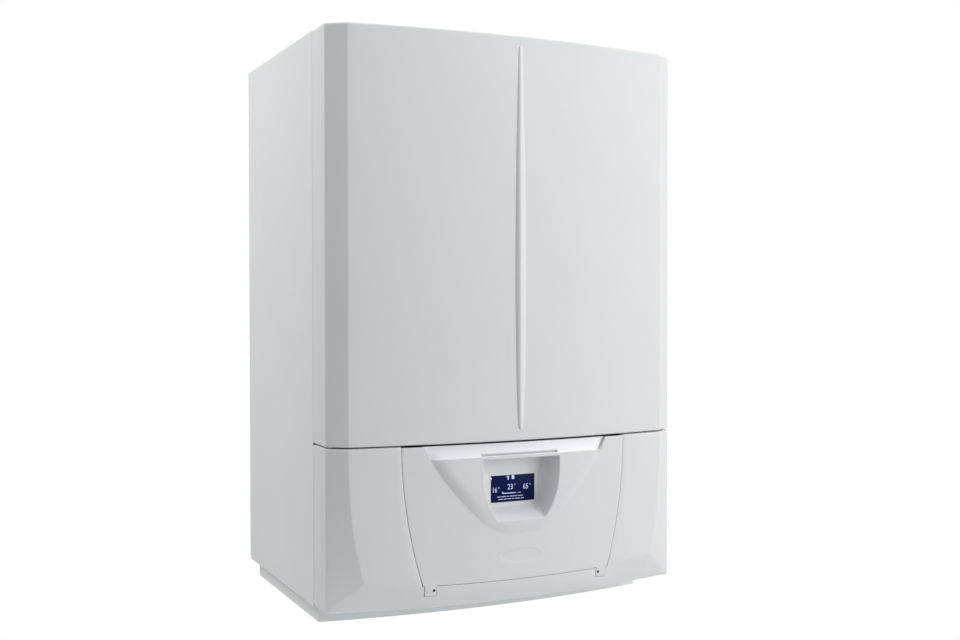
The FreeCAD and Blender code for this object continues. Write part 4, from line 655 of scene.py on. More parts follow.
@dataclass
class LowerCover(SubAssembly):
    """Lower front frame: two wings, a tucked chin below the flap, and a closed floor."""

    plan: FrontPlan
    flap: FlapOutline
    base: float = 0.0012
    top: float = 0.2456
    wall: float = 0.002
    hem: float = 0.010
    roll: float = 0.0024
    roll_share: float = 0.3
    firm: float = 0.0008
    lower_corner: float = 0.054
    # Power with which the slanted corner widens towards the chin.
    corner_spread: float = 2.55
    chin_level: float = 0.038
    tuck: float = 0.005
    fold_middle: float = 0.033
    fold_rise: float = 0.0135
    fold_reach: float = 0.2465
    # Half the height of the band that rounds the fold off.
    fold_soft: float = 0.0012
    facet_start: float = 0.150
    seam: float = 0.0006
    chin_gap: float = 0.0007
    notch_outer: float = 0.1574
    notch_inner: float = 0.1386
    notch_foot: float = 0.0200
    seam_return: float = 0.007
    seam_radius: float = 0.0011
    wing_foot: float = 0.056
    wing_step: float = 0.009
    wing_shares: Sequence[float] = (0.85, 0.6, 0.35, 0.15, 0.0)
    chin_stations: Sequence[float] = (0.1574, 0.148, 0.1386, 0.12, 0.1, 0.08, 0.06, 0.04, 0.02, 0.0)

    def _side(self, level: float) -> float:
        """Distance of the opening's side from the centre line at a level."""
        return self.flap.half(max(level, self.chin_level)) + self.seam

    def _chin(self, across: float) -> float:
        """Level of the opening's lower edge at a distance from the centre line."""
        return self.flap.foot_at(across) - self.chin_gap

    def _plan_at(self, level: float) -> list[Vector]:
        """Draw the frame's plan above the fold.

        Args:
            level: height of the plan.

        Returns:
            Points as across and depth, from left to right.
        """
        share = held((level - self.chin_level) / (self.top - self.chin_level))
        spread = self.lower_corner - self.plan.corner_width
        corner = self.plan.corner_width + spread * (1 - share) ** self.corner_spread
        edge = self.plan.half_width - corner - 2 * self.plan.front_radius
        side = self._side(level)
        stations = [side + (edge - side) * part for part in self.wing_shares]
        return mirrored(self.plan.half(corner, [*stations, *self.chin_stations]))

    def _fold(self, across: float) -> float:
        """Find the fold above the chin: smiling along the front, down to the foot in the corners.

        Args:
            across: distance from the centre line.

        Returns:
            Level of the fold there.
        """
        if across <= self.fold_reach:
            return self.fold_middle + self.fold_rise * (across / self.fold_reach) ** 2
        outer = self.plan.half_width - self.plan.side_radius
        share = min((across - self.fold_reach) / (outer - self.fold_reach), 1.0)
        top = self.fold_middle + self.fold_rise
        return top + (self.base + 3 * self.roll - top) * share

    def _point(self, column: int, level: float, fold: float) -> Vector:
        """Place a column: on the plan above the fold, drawn back below it.

        Args:
            column: number of the column, from the left.
            level: height of the place.
            fold: level of the fold in this column.

        Returns:
            The place as across and depth.
        """
        if level >= fold:
            return self._plan_at(level)[column]
        above, plan = self._plan_at(fold)[column], self.plan
        across = abs(above.x)
        foot = min(above.y, plan.depth(across) - self.tuck)
        if across > self.facet_start:
            inner = plan.depth(self.facet_start) - self.tuck
            share = (plan.half_width - across) / (plan.half_width - self.facet_start)
            foot = min(foot, plan.side_depth + (inner - plan.side_depth) * share)
        tucked = min((fold - level) / (fold - self.base), 1.0)
        return Vector((above.x, above.y + (foot - above.y) * tucked))

    def _rows(self, across: Sequence[float], folds: Sequence[float]) -> list[tuple[list[float], float]]:
        """List the rows of the frame's grid.

        Args:
            across: distance of each column from the centre line.
            folds: level of the fold in each column.

        Returns:
            Rows from the floor up, each with its level in every column and its inset.
        """
        low, high, roll, part = self.base, self.top, self.roll, self.roll_share
        rolled, soft = low + 2 * roll, self.fold_soft
        bent = []
        for x, fold in zip(across, folds):
            chin, outer = self._chin(x), x > self.fold_reach
            below = fold - soft if outer else max(fold - soft, chin + soft)
            # In the corners the rows between the rolled edge and the fold close up.
            third = (below - rolled) / 3
            bent.append((rolled + third if outer else self.notch_foot,
                         rolled + 2 * third if outer else chin, below, below + 2 * soft))
        wing = levels(self.wing_foot, high - roll, self.wing_step)
        wing.insert(-1, high - roll - self.firm)
        foot = [(low, 2 * roll), (low + part * roll, part * 2 * roll), (rolled, 0.0)]
        head = [(high - part * roll, part * roll), (high, roll), (high, self.hem)]
        rows = [([level] * len(bent), inset) for level, inset in foot]
        rows += [(list(row), 0.0) for row in zip(*bent)]
        return rows + [([level] * len(bent), inset) for level, inset in [(z, 0.0) for z in wing] + head]

    def build(self) -> None:
        """Model the frame round the flap."""
        across = [abs(point.x) for point in self._plan_at(self.chin_level)]
        folds = [self._fold(x) for x in across]
        places = []
        for heights, inset in self._rows(across, folds):
            points = [self._point(column, level, folds[column]) for column, level in enumerate(heights)]
            places.append([Vector((point.x, -point.y, level))
                           for point, level in zip(inset_plan(points, inset), heights)])
        bm = self.bent_grid(places)
        self._open(bm)
        rim = [vert for vert in bm.verts if vert.co.z < self.base + 1e-6]
        self.close_end(bm, rim, self.plan.back + self.roll)
        self._round_opening(bm)
        self.piece(bm, "lower_front_cover_skin", "boiler", "cover_plastic", COVER,
                   ["lower_front_cover"], wall=self.wall)

    def _open(self, bm: bmesh.types.BMesh) -> None:
        """Take the faces of the flap's opening and of the two hinge notches out of the grid.

        Args:
            bm: the frame's skin.
        """
        gone = []
        for face in bm.faces:
            middle = face.calc_center_median()
            chin, across = self._chin(middle.x), abs(middle.x)
            in_opening = across < self._side(middle.z) and middle.z > chin
            in_notch = (self.notch_inner < across < self.notch_outer
                        and self.notch_foot < middle.z < chin + self.chin_gap)
            if in_opening or in_notch:
                gone.append(face)
        bmesh.ops.delete(bm, geom=gone, context="FACES")

    def _round_opening(self, bm: bmesh.types.BMesh) -> None:
        """Turn the border of the opening back into a short return with a rounded edge.

        Args:
            bm: the frame's skin with its opening.
        """
        border = []
        for edge in bm.edges:
            middle = (edge.verts[0].co + edge.verts[1].co) / 2
            beside = abs(middle.x) < self._side(middle.z) + self.seam
            if edge.is_boundary and beside and middle.z < self.top - 1e-4:
                border.append(edge)
        self.skirt(bm, border, self.seam_return, self.seam_radius)


@dataclass
class ControlFlap(SubAssembly):
    """Drop-down flap with its raised V, finger ledge and bowl round the display window."""

    plan: FrontPlan
    outline: FlapOutline
    wall: float = 0.002
    window_half: float = 0.0385
    window_low: float = 0.149
    window_high: float = 0.191
    # Half-width and level of the raised V at its top and at its foot.
    beak_top: tuple[float, float] = (0.160, 0.2494)
    beak_foot: tuple[float, float] = (0.045, 0.1075)
    beak_base: float = 0.105
    beak_bulge: float = 0.0130
    beak_rise: float = 0.0062
    beak_flank: float = 0.020
    beak_blend: float = 0.018
    # The V starts with a share of its rise and has all of it from a share of its height on.
    beak_start: float = 0.40
    beak_full: float = 0.55
    ledge_level: float = 0.2245
    ledge_step: float = 0.0005
    ledge_depth: float = 0.0055
    ledge_fall: float = 0.006
    ledge_fall_run: float = 0.018
    ledge_end_wall: float = 0.0006
    ledge_foot_edge: float = 0.0004
    bowl_top: float = 0.221
    bowl_base: float = 0.125
    bowl_top_half: float = 0.066
    bowl_base_half: float = 0.040
    bowl_depth: float = 0.0266
    bowl_margin: float = 0.004
    bowl_head_half: float = 0.058
    bowl_head_wall: float = 1.4
    bowl_blend: float = 0.30
    # Last share of the bowl's wall, which rounds off into its floor.
    bowl_soft: float = 0.25
    slot_low: float = 0.2257
    slot_high: float = 0.2283
    slot_half: float = 0.066
    slot_depth: float = 0.004
    slot_edge: float = 0.0001
    place_level: float = 0.0705
    place_half: tuple[float, float] = (0.036, 0.0115)
    place_depth: float = 0.0005
    place_rim: float = 0.12
    # Columns stand upright up to here, then lead to the V's border and on to the flap's edge.
    upright_half: float = 0.070
    knee_half: float = 0.150
    knee_lowest: float = 0.19
    # Below this level the rows settle onto the curved foot.
    settling: float = 0.056
    # Upper ends of the close rows at the oval place and of the plain rows above it.
    place_rows: tuple[float, float] = (0.086, 0.102)
    column_steps: Sequence[float] = (0.002, 0.0011, 0.0016, 0.003)
    row_steps: Sequence[float] = (0.0045, 0.0014, 0.004, 0.0012, 0.0016)
    edge_return: float = 0.004
    edge_radius: float = 0.0009
    hinge_level: float = 0.025
    lug_across: float = 0.148
    lug_depth: float = 0.4697
    lug_level: float = 0.0285
    lug_size: tuple[float, float, float] = (0.018, 0.0050, 0.0164)
    lug_radius: float = 0.0006
    lug_turn: float = 0.094
    lug_lean: float = 0.142
    # Black disc of painted shade that stands for a lug's dark pin hole: its size, how far it is let in, and
    # where it sits.
    hole_radius: float = 0.0022
    hole_thickness: float = 0.0007
    hole_sunk: float = 0.0005
    hole_up: float = 0.0002
    hole_share: float = 0.6
    pin_radius: float = 0.0009
    pin_length: float = 0.0050

    def _up_beak(self, z: float) -> float:
        """Share of the raised V's height at a level."""
        return held((z - self.beak_foot[1]) / (self.beak_top[1] - self.beak_foot[1]))

    def _border(self, z: float) -> float:
        """Half-width of the raised V at a level; its sides are bulged."""
        foot_half, share = self.beak_foot[0], self._up_beak(z)
        return foot_half + (self.beak_top[0] - foot_half) * share + 4 * self.beak_bulge * share * (1 - share)

    def _beak(self, x: float, z: float) -> float:
        """Shape the raised V: steep at its border, flat further in, low towards its foot.

        Args:
            x: distance from the centre line, to the right.
            z: level.

        Returns:
            How far the V stands in front of the bowed front.
        """
        (top_half, top), (foot_half, foot) = self.beak_top, self.beak_foot
        lean = math.cos(math.atan2(top_half - foot_half, top - foot))
        base = self.beak_base + (foot - self.beak_base) * min(1.0, (x / foot_half) ** 2)
        inside = soft_min((self._border(z) - abs(x)) * lean, z - base, self.beak_blend)
        grown = self.beak_start + (1 - self.beak_start) * eased(self._up_beak(z) / self.beak_full)
        return self.beak_rise * grown * (1 - (1 - held(inside / self.beak_flank)) ** 2)

    def _in_slot(self, x: float, z: float) -> bool:
        """Tell whether a place lies in the narrow slot along the ledge's foot."""
        return abs(x) < self.slot_half and self.slot_low < z < self.slot_high

    def _ledge(self, x: float, z: float) -> float:
        """Shape the finger ledge, with its crisp ends and its slot.

        Args:
            x: distance from the centre line, to the right.
            z: level.

        Returns:
            How far the ledge lies behind the bowed front.
        """
        run = (z - self.ledge_level) / (self.outline.top - self.ledge_level)
        to_end = self._border(z) - abs(x)
        deep = self.ledge_step + self.ledge_depth * run
        # Towards its ends the ledge falls back like the V's flanks below it.
        deep += self.ledge_fall * max(1 - to_end / self.ledge_fall_run, 0.0) ** 2 * (1 - run)
        if self._in_slot(x, z):
            deep += self.slot_depth
        return deep * held(to_end / self.ledge_end_wall)

    def _bowl(self, x: float, z: float) -> float:
        """Shape the bowl round the window, from its curved rim to its floor.

        Args:
            x: distance from the centre line, to the right.
            z: level.

        Returns:
            Share of the way into the bowl, 0 at its rim and 1 on its floor.
        """
        up = held((z - self.bowl_base) / (self.bowl_top - self.bowl_base))
        rim = self.bowl_base_half + (self.bowl_top_half - self.bowl_base_half) * (1 - (1 - up) ** 3)
        above = held((z - self.window_high) / (self.bowl_top - self.window_high))
        narrow = self.window_half + self.bowl_margin
        floor = narrow + (self.bowl_head_half - narrow) * above
        side = (rim - abs(x)) / max(rim - floor, self.bowl_margin)
        lower = (z - self.bowl_base) / (self.window_low - self.bowl_margin - self.bowl_base)
        upper = (self.bowl_top - z) / (self.bowl_head_wall * self.bowl_margin)
        share, soft = min(soft_min(side, lower, self.bowl_blend), upper, 1.0), self.bowl_soft
        share -= max(share - (1 - soft), 0.0) ** 2 / (2 * soft)
        return max(share, 0.0) / (1 - soft / 2)

    def _sunk(self, x: float, z: float) -> float:
        """Run the flap's forms into each other.

        Args:
            x: distance from the centre line, to the right.
            z: level.

        Returns:
            How far the flap's face lies behind the bowed front.
        """
        if z > self.ledge_level:
            return self._ledge(x, z)
        across, up = self.place_half
        oval = math.hypot(x / across, (z - self.place_level) / up)
        face = -self._beak(x, z) + self.place_depth * eased((1 - oval) / self.place_rim)
        return face + (self.bowl_depth - face) * self._bowl(x, z)

    def _columns(self) -> list[float]:
        """List the columns of the flap's grid, closer together where its walls and flanks are.

        Returns:
            Marks across the flap, from left to right.
        """
        ends = (0.0, self.window_half, self.upright_half, self.knee_half - self.ledge_end_wall)
        half = [0.0]
        for low, high, step in zip(ends, ends[1:], self.column_steps):
            half += levels(low, high, step)[1:]
        half += levels(self.knee_half, self.outline.half_top, self.column_steps[-1])
        snap(half, self.slot_half)
        return [-x for x in reversed(half[1:])] + half

    def _rows(self) -> list[float]:
        """List the rows of the flap's grid, closer together where its forms are.

        Returns:
            Levels from the foot up.
        """
        ledge, edge, thin = self.ledge_level, self.ledge_foot_edge, self.slot_edge
        ends = (self.outline.foot, self.settling, *self.place_rows, ledge - edge)
        rows = [self.outline.foot]
        for low, high, step in zip(ends, ends[1:], self.row_steps):
            rows += levels(low, high, step)[1:]
        snap(rows, self.window_low)
        snap(rows, self.window_high)
        rows += [ledge, ledge + edge, self.slot_low, self.slot_low + thin, self.slot_high - thin]
        return rows + levels(self.slot_high, self.outline.top, self.row_steps[-1])

    def _across(self, mark: float, z: float) -> float:
        """Lead a column along the V's border beside the ledge and out to the flap's edge.

        Args:
            mark: the column's mark.
            z: level.

        Returns:
            Where the column passes that level.
        """
        size, upright, knee = abs(mark), self.upright_half, self.knee_half
        bend = self._border(max(z, self.knee_lowest))
        if size <= upright:
            return mark
        if size <= knee:
            size = upright + (bend - upright) * (size - upright) / (knee - upright)
        else:
            size = bend + (self.outline.half(z) - bend) * (size - knee) / (self.outline.half_top - knee)
        return math.copysign(size, mark)

    def _place(self, mark: float, height: float) -> Vector:
        """Place a crossing of the flap's grid.

        Args:
            mark: mark of its column.
            height: level of its row on the centre line.

        Returns:
            Its place on the flap's face.
        """
        x, z, foot = self._across(mark, height), height, self.outline.foot
        if z < self.settling:
            low = self.outline.foot_at(x)
            z = low + (self.settling - low) * (z - foot) / (self.settling - foot)
        return Vector((x, self._sunk(x, z) - self.plan.depth(x), z))

    def build(self) -> None:
        """Model the flap's skin, its finger strip and its hinge lugs, all on the flap's body."""
        marks = self._columns()
        bm = self.bent_grid([[self._place(mark, height) for mark in marks] for height in self._rows()])
        gone = [face for face in bm.faces if self._by_window(face.calc_center_median(), 0.0)]
        bmesh.ops.delete(bm, geom=gone, context="FACES")
        round_window = 0.01
        border = [edge for edge in bm.edges if edge.is_boundary
                  and not self._by_window((edge.verts[0].co + edge.verts[1].co) / 2, round_window)]
        self.skirt(bm, border, self.edge_return, self.edge_radius)
        self._strip(bm)
        self.piece(bm, "control_flap_skin", "flap", "cover_plastic", COVER, ["control_flap"],
                   wall=self.wall, crease=40)
        self._lugs()

    def _by_window(self, at: Vector, margin: float) -> bool:
        """Tell whether a place lies in the display window, or within a margin of it.

        Args:
            at: the place.
            margin: how far outside the window still counts.

        Returns:
            Whether it does.
        """
        return (abs(at.x) < self.window_half + margin
                and self.window_low - margin < at.z < self.window_high + margin)

    def _on_ledge(self, face: bmesh.types.BMFace) -> bool:
        """Tell whether a face of the skin belongs to the finger ledge.

        Args:
            face: the face.

        Returns:
            Whether it looks to the front there, beside the slot and inside the crisp ends.
        """
        middle, facing = face.calc_center_median(), -0.7
        inside = self._border(middle.z) - abs(middle.x) > self.ledge_end_wall
        above = middle.z > self.ledge_level + self.ledge_foot_edge
        return face.normal.y < facing and inside and above and not self._in_slot(middle.x, middle.z)

    def _strip(self, bm: bmesh.types.BMesh) -> None:
        """Take the finger ledge out of the flap's skin, as a strip whose whiter colour is a painted
        highlight.

        Args:
            bm: the flap's skin, which loses the faces of the strip.
        """
        bm.normal_update()
        strip = bm.copy()
        bmesh.ops.delete(strip, geom=[f for f in strip.faces if not self._on_ledge(f)], context="FACES")
        bmesh.ops.delete(bm, geom=[f for f in bm.faces if self._on_ledge(f)], context="FACES")
        # The strip's whiter finish is a painted highlight for the light on the upward-facing ledge.
        self.piece(strip, "flap_finger_strip", "flap", "cover_plastic", PAINTED_HIGHLIGHT_STRIP, wall=self.wall / 2)

    def _lugs(self) -> None:
        """Model the two hinge lugs, flush with the chin, black discs of painted shade for their pin holes,
        and the hidden pins.
        """
        lugs, holes, pins = bmesh.new(), bmesh.new(), bmesh.new()
        (width, thick, _), radius = self.lug_size, self.hole_radius
        disc = [(0.0, 0.0), (radius, 0.0), (radius, self.hole_thickness), (0.0, self.hole_thickness)]
        pin, length = self.pin_radius, self.pin_length
        stub = [(0.0, 0.0), (pin, 0.0), (pin, length), (0.0, length)]
        for sign in (-1, 1):
            across = sign * self.lug_across
            lie = (Matrix.Translation((across, -self.lug_depth, self.lug_level))
                   @ Matrix.Rotation(sign * self.lug_turn, 4, "Z") @ Matrix.Rotation(self.lug_lean, 4, "X"))
            lug, hole = bmesh.new(), bmesh.new()
            self.bar(lug, Vector(self.lug_size), Vector((0, thick / 2, 0)), self.lug_radius)
            self.add(lugs, lug, lie)
            outwards = -self.hole_share * sign * width / 2
            # A black disc, let into the lug, is painted shade for the dark inside of its pin hole.
            self.turned(hole, disc, Vector((outwards, self.hole_sunk, self.hole_up)), FORWARD, 16)
            self.add(holes, hole, lie)
            for side in (-1, 1):
                start = across + side * (width / 2 + self.lug_radius) - (length if side < 0 else 0.0)
                foot = Vector((start, -self.lug_depth + thick, self.hinge_level))
                self.turned(pins, stub, foot, Vector((1, 0, 0)), 20)
        self.piece(lugs, "flap_hinge_lugs", "flap", "cover_plastic", COVER)
        self.piece(holes, "flap_hinge_holes_painted_shade", "flap", "black_plastic", BLACK)
        self.piece(pins, "flap_hinge_pin_stubs", "boiler", "zinc_fastener", ZINC, ["flap_hinge_pins"])


@dataclass
class Display(SubAssembly):
    """Liquid-crystal display behind the flap's window, with plain numbers and generic marks."""

    face: float = 0.4481
    level: float = 0.170
    half_width: float = 0.0405
    half_height: float = 0.023
    thickness: float = 0.009
    edge_radius: float = 0.0004
    lift: float = 0.00012
    depth: float = 0.00006
    # Text, place across and up from the middle, height of its figures.
    readings: Sequence[tuple[str, float, float, float]] = (
        ("16", -0.0306, -0.0020, 0.0079), ("23", -0.0034, 0.0016, 0.0086), ("65", 0.0236, 0.0008, 0.0084))
    # Height of a capital as a share of the font's size, and how narrow the figures are.
    cap_share: float = 0.72
    narrow: float = 0.82
    # Place of the degree ring beside figures of a height, its rise as a share of that, and its size.
    degree_across: float = 0.0098
    degree_height: float = 0.0105
    degree_up: float = 0.42
    degree_radius: float = 0.0011
    degree_width: float = 0.0004
    # Place across and up from the middle, width and height: three bars of the two signs on top, one
    # at the left, then the level bar with its start and its end.
    signs: Sequence[tuple[float, float, float, float]] = (
        (-0.0075, 0.0182, 0.0044, 0.0016), (-0.0069, 0.0158, 0.0020, 0.0052),
        (0.0014, 0.0168, 0.0046, 0.0060), (-0.0370, 0.0165, 0.0022, 0.0034),
        (-0.0050, -0.0078, 0.0230, 0.0012), (-0.0168, -0.0066, 0.0016, 0.0028),
        (0.0125, -0.0078, 0.0060, 0.0006))
    # Two rows of small marks that can't be read: lengths, then start and level of each row.
    mark_lengths: Sequence[float] = (0.0056, 0.0088, 0.0034, 0.0070, 0.0048, 0.0082)
    mark_rows: Sequence[tuple[float, float]] = ((-0.0262, -0.0128), (-0.0244, -0.0168))
    mark_height: float = 0.0009
    mark_gap: float = 0.0014

    def build(self) -> None:
        """Model the screen with its bezel, and draw what it shows."""
        bm = bmesh.new()
        middle = Vector((0, self.thickness / 2 - self.face, self.level))
        size = Vector((2 * self.half_width, self.thickness, 2 * self.half_height))
        self.bar(bm, size, middle, self.edge_radius)
        self.piece(bm, "display_screen", "boiler", "display_navy", SCREEN, ["display_module"])
        bm = bmesh.new()
        for text, across, up, height in self.readings:
            self._figures(bm, text, self._at(across, up), height)
            beside = Vector((across + self.degree_across * height / self.degree_height,
                             up + height * self.degree_up))
            self._degree(bm, self._at(*beside))
        for across, up, width, height in self.signs:
            self._flat(bm, self._at(across, up), width, height)
        self._marks(bm)
        self.piece(bm, "display_figures", "boiler", "control_white", LIT)

    def _at(self, across: float, up: float) -> Vector:
        """Place on the display's drawing, from the middle of the screen."""
        return Vector((across, -self.face - self.lift, self.level + up))

    def _figures(self, bm: bmesh.types.BMesh, text: str, at: Vector, height: float) -> None:
        """Add upright figures to the display's drawing.

        Args:
            bm: bmesh that takes the figures.
            text: the number to draw.
            at: its middle.
            height: height of a figure.
        """
        curve = bpy.data.curves.new("figures", "FONT")
        curve.body = text
        curve.align_x, curve.align_y = "CENTER", "CENTER"
        curve.size = height / self.cap_share
        curve.extrude = self.depth / 2
        holder = bpy.data.objects.new("figures", curve)
        mesh = bpy.data.meshes.new_from_object(holder)
        mesh.transform(Matrix.Translation(at) @ Matrix.Rotation(math.pi / 2, 4, "X")
                       @ Matrix.Diagonal((self.narrow, 1, 1, 1)))
        bm.from_mesh(mesh)
        bpy.data.objects.remove(holder)
        bpy.data.curves.remove(curve)
        bpy.data.meshes.remove(mesh)

    def _flat(self, bm: bmesh.types.BMesh, at: Vector, width: float, height: float) -> None:
        """Add a flat lit bar to the display's drawing."""
        self.bar(bm, Vector((width, self.depth, height)), at, 0.0)

    def _degree(self, bm: bmesh.types.BMesh, at: Vector) -> None:
        """Add a small lit ring, the degree mark, to the display's drawing.

        Args:
            bm: bmesh that takes the ring.
            at: its middle.
        """
        half, outer = self.depth / 2, self.degree_radius
        inner = outer - self.degree_width
        outline = [(inner, -half), (outer, -half), (outer, half), (inner, half), (inner, -half)]
        self.turned(bm, outline, at, FORWARD, 16)

    def _marks(self, bm: bmesh.types.BMesh) -> None:
        """Add the two rows of small marks, the second with its lengths the other way round.

        Args:
            bm: bmesh that takes the marks.
        """
        for (across, up), lengths in zip(self.mark_rows, (self.mark_lengths, self.mark_lengths[::-1])):
            for length in lengths:
                self._flat(bm, self._at(across + length / 2, up), length, self.mark_height)
                across += length + self.mark_gap


@dataclass
class Controls(SubAssembly):
    """Printed scales and pointer marks on the panel behind the flap."""

    panel_face: float = 0.4465
    knob_across: float = 0.120
    knob_level: float = 0.096
    knob_face: float = 0.4608
    knob_radius: float = 0.019
    sweep: float = math.radians(270)
    ink: float = 0.0001
    # Round scale of a knob: marks, how many to a main one, gap to the knob, lengths and widths.
    knob_marks: int = 11
    knob_main: int = 5
    knob_gap: float = 0.005
    knob_lengths: tuple[float, float] = (0.005, 0.0032)
    knob_widths: tuple[float, float] = (0.0012, 0.0006)
    knob_widening: float = 0.00006
    # Pointer line on a knob: its middle and its length as shares of the knob's radius, its width.
    pointer_shares: tuple[float, float] = (0.55, 0.5)
    pointer_width: float = 0.0016
    # Dial of the gauge: parts of its scale, how many to a main one, radii, lengths and widths.
    gauge_across: float = -0.155
    gauge_level: float = 0.180
    dial_face: float = 0.4430
    dial_parts: int = 16
    dial_main: int = 4
    dial_radii: tuple[float, float] = (0.0165, 0.0172)
    dial_lengths: tuple[float, float] = (0.0034, 0.002)
    dial_widths: tuple[float, float] = (0.0007, 0.0004)

    def _tick(self, bm: bmesh.types.BMesh, centre: Vector, angle: float, radius: float, length: float,
              width: float) -> None:
        """Add one printed tick of a round scale.

        Args:
            bm: bmesh that takes the tick.
            centre: middle of the scale, on the printed face.
            angle: clockwise angle from straight up, seen from the front.
            radius: distance of the tick's middle from the centre.
            length: length along the radius.
            width: width of the line.
        """
        out = Vector((math.sin(angle), 0, math.cos(angle)))
        self.bar(bm, Vector((width, self.ink, length)), centre + out * radius, 0.0,
                 Matrix.Rotation(angle, 4, "Y"))

    def _scales(self) -> None:
        """Print a scale round each knob, rising in strength from left to right."""
        bm = bmesh.new()
        for sign in (-1, 1):
            centre = Vector((sign * self.knob_across, -self.panel_face, self.knob_level))
            for index in range(self.knob_marks):
                angle = -self.sweep / 2 + self.sweep * index / (self.knob_marks - 1)
                side = index % self.knob_main != 0
                width = self.knob_widths[side] + self.knob_widening * index * side
                self._tick(bm, centre, angle, self.knob_radius + self.knob_gap, self.knob_lengths[side],
                           width)
        self.piece(bm, "knob_scale_marks", "boiler", "black_plastic", INK)

    def _pointers(self) -> None:
        """Print a pointer line on the finger bar of each knob."""
        out, length = (share * self.knob_radius for share in self.pointer_shares)
        for sign, side, body in ((-1, "heating", "heating_control"), (1, "hot_water", "hot_water_control")):
            bm = bmesh.new()
            centre = Vector((sign * self.knob_across, -self.knob_face, self.knob_level))
            self._tick(bm, centre, 0.0, out, length, self.pointer_width)
            self.piece(bm, f"{side}_knob_pointer", body, "black_plastic", INK)

    def _dial(self) -> None:
        """Print the scale of the pressure gauge, which starts at the bottom and runs clockwise."""
        bm = bmesh.new()
        centre = Vector((self.gauge_across, -self.dial_face, self.gauge_level))
        for index in range(self.dial_parts + 1):
            angle = math.pi + self.sweep * index / self.dial_parts
            side = index % self.dial_main != 0
            self._tick(bm, centre, angle, self.dial_radii[side], self.dial_lengths[side],
                       self.dial_widths[side])
        self.piece(bm, "gauge_dial_marks", "boiler", "black_plastic", INK)

    def build(self) -> None:
        """Print all the marks of the panel."""
        self._scales()
        self._pointers()
        self._dial()


@dataclass
class Internals:
    """CAD nodes that keep their shape, and what each is made of."""

    finishes: dict[Finish, tuple[str, ...]] = field(default_factory=lambda: {
        CASING: ("left_side_panel", "right_side_panel", "top_panel", "bottom_tray"),
        GALVANISED: ("back_panel", "wall_bracket", "inner_shelves", "inner_brackets"),
        ZINC: ("screws_and_bolts",),
        STAINLESS: ("storage_tank", "plate_exchanger", "burner"),
        FOAM: ("tank_jacket",),
        VESSEL: ("expansion_vessel",),
        CAST: ("heat_exchanger", "burner_door", "fan_housing", "gas_valve"),
        CERAMIC: ("electrodes",),
        BLACK: ("mixture_duct", "air_intake", "fan_motor", "diverter_actuator", "cable_glands"),
        GREY: ("control_box", "fan_wheel", "pump_wheel", "condensate_trap"),
        FLUE: ("flue_pipe", "flue_collar"),
        RUBBER: ("flue_seal",),
        BRASS: ("manifolds", "connection_fittings", "diverter_valve", "diverter_spindle", "safety_valve",
                "filling_tap"),
        COPPER: ("riser_pipes", "heating_pipes", "water_pipes", "gas_pipes"),
        IRON: ("pump_housing", "pump_motor"),
        RED: ("safety_valve_knob",),
        BLUE: ("filling_tap_knob",),
        BOARD: ("main_circuit_board",),
        PANEL: ("control_panel",),
        CONTROL: ("heating_knob", "hot_water_knob", "mode_button", "info_button", "reset_button",
                  "pressure_gauge"),
        POINTER: ("gauge_needle",),
        WINDOW: ("gauge_glass",),
    })

    def dress(self) -> None:
        """Give every CAD node that stays its material."""
        for finish, nodes in self.finishes.items():
            for name in nodes:
                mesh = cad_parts[name].data
                mesh.materials.clear()
                mesh.materials.append(finish.material())
                log.info("%s is %s", name, finish.name)


@dataclass(frozen=True)
class Lamp:
    """A softbox of the studio."""

    name: str
    place: tuple[float, float, float]
    target: tuple[float, float, float]
    watts: float
    size: float

    def light(self) -> None:
        """Hang the softbox and point it at its target."""
        data = bpy.data.lights.new(self.name, "AREA")
        data.energy = self.watts
        data.shape = "SQUARE"
        data.size = self.size
        made = bpy.data.objects.new(self.name, data)
        aim = Vector(self.target) - Vector(self.place)
        made.matrix_world = Matrix.Translation(self.place) @ aim.to_track_quat("-Z", "Y").to_matrix().to_4x4()
        bpy.context.scene.collection.objects.link(made)


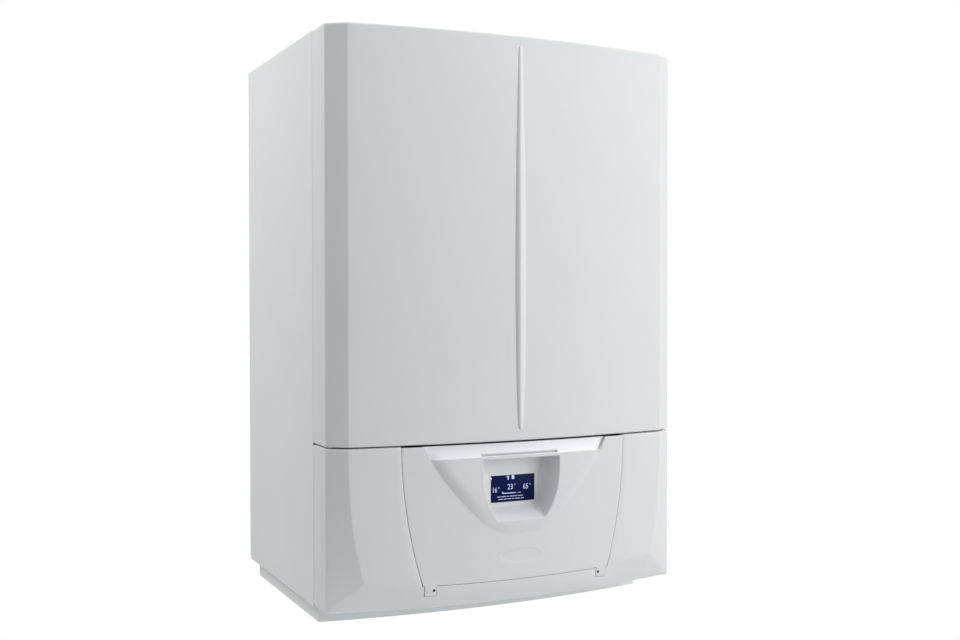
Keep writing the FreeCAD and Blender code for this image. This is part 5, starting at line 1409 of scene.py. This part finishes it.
@dataclass
class Studio:
    """Pale floor, soft light, white surroundings and the camera at the photograph's place."""

    floor_level: float = -1.15
    floor_middle: float = -0.2
    floor_half: float = 2.0
    floor_glow: float = 0.95
    ambient: float = 0.308
    lens: float = 44.38
    eye: tuple[float, float, float] = (-0.8384, -2.0942, 0.4645)
    turn: tuple[float, float, float] = (math.pi / 2 - 0.0173, 0.0011, -0.444)
    lamps: Sequence[Lamp] = (
        Lamp("key_softbox", (2.30, -2.75, 0.85), (0.0, -0.4, 0.36), 59.0, 2.0),
        Lamp("side_softbox", (-1.75, 0.35, 1.85), (-0.3, -0.2, 0.75), 24.0, 1.0),
        Lamp("top_softbox", (0.05, -1.05, 2.30), (0.0, -0.7, 0.2), 14.0, 0.9),
        Lamp("bounce_board", (-0.37, -0.56, -0.26), (-0.27, -0.45, 0.0), 0.13, 0.22),
        Lamp("rim_softbox", (2.30, -0.75, 0.55), (0.29, -0.43, 0.45), 4.0, 0.8),
    )

    def build(self) -> None:
        """Set up floor, world, lamps, camera and view settings."""
        self._floor()
        self._surround()
        for lamp in self.lamps:
            lamp.light()
        data = bpy.data.cameras.new("camera")
        data.lens = self.lens
        camera = bpy.data.objects.new("camera", data)
        camera.location = self.eye
        camera.rotation_euler = self.turn
        bpy.context.scene.collection.objects.link(camera)
        bpy.context.scene.camera = camera
        bpy.context.scene.view_settings.view_transform = "Standard"

    def _floor(self) -> None:
        """Lay the floor below the boiler, which hangs above it."""
        bm = bmesh.new()
        bmesh.ops.create_grid(bm, x_segments=1, y_segments=1, size=self.floor_half)
        bmesh.ops.translate(bm, vec=(0, self.floor_middle, self.floor_level), verts=bm.verts)
        mesh = bpy.data.meshes.new("studio_floor")
        bm.to_mesh(mesh)
        bm.free()
        floor = bpy.data.objects.new("studio_floor", mesh)
        bpy.context.scene.collection.objects.link(floor)
        # Matt white studio board, with a faint roller texture about 6 mm across.
        board = Finish("white_studio_board", "#F2F2F2", "#EDEDED", Pattern.PEEL, 6.0, 0.8, relief_mm=0.02)
        mesh.materials.append(self._pale(board.material()))

    def _seen(self, tree: bpy.types.NodeTree) -> bpy.types.NodeSocket:
        """Tell the rays that show a surface to the eye, straight or mirrored, from those that light.

        Args:
            tree: node tree that takes the nodes.

        Returns:
            1 for rays that show, 0 for rays that light.
        """
        path = add_node(tree, "ShaderNodeLightPath").outputs
        seen = path["Is Camera Ray"]
        for other in ("Is Glossy Ray", "Is Transmission Ray"):
            seen = add_node(tree, "ShaderNodeMath", {"operation": "MAXIMUM"},
                            {0: seen, 1: path[other]}).outputs[0]
        return seen

    def _pale(self, board: bpy.types.Material) -> bpy.types.Material:
        """Let the floor look nearly white to the eye, so that it runs into the surroundings.

        Args:
            board: material of the floor.

        Returns:
            The same material, changed.
        """
        tree = board.node_tree
        ends = [node for node in tree.nodes if node.bl_idname == "ShaderNodeOutputMaterial"]
        lit = ends[0].inputs["Surface"].links[0].from_socket
        white = add_node(tree, "ShaderNodeEmission", None, {"Color": WHITE, "Strength": 1.0})
        share = add_node(tree, "ShaderNodeMath", {"operation": "MULTIPLY"},
                         {0: self._seen(tree), 1: self.floor_glow})
        mixed = add_node(tree, "ShaderNodeMixShader", None,
                         {0: share.outputs[0], 1: lit, 2: white.outputs["Emission"]})
        tree.links.new(mixed.outputs["Shader"], ends[0].inputs["Surface"])
        return board

    def _surround(self) -> None:
        """White surroundings to the eye and in reflections, and a grey ambient light otherwise."""
        world = bpy.data.worlds.new("studio")
        world.use_nodes = True
        tree = world.node_tree
        tree.nodes.clear()
        strength = add_node(tree, "ShaderNodeMapRange", None,
                            {"Value": self._seen(tree), "To Min": self.ambient,
                             "To Max": 1.0}).outputs["Result"]
        back = add_node(tree, "ShaderNodeBackground", None, {"Color": WHITE, "Strength": strength})
        add_node(tree, "ShaderNodeOutputWorld", None, {"Surface": back.outputs["Background"]})
        bpy.context.scene.world = world


def main() -> None:
    """Build the sub-assemblies in order, dress what stays, and set up the studio."""
    logging.basicConfig(level=logging.INFO)
    plan = FrontPlan()
    outline = FlapOutline()
    parts = (UpperCover(plan), LowerCover(plan, outline), ControlFlap(plan, outline), Display(), Controls())
    for part in parts:
        part.build()
    Internals().dress()
    Studio().build()


if __name__ == "__main__":
    main()
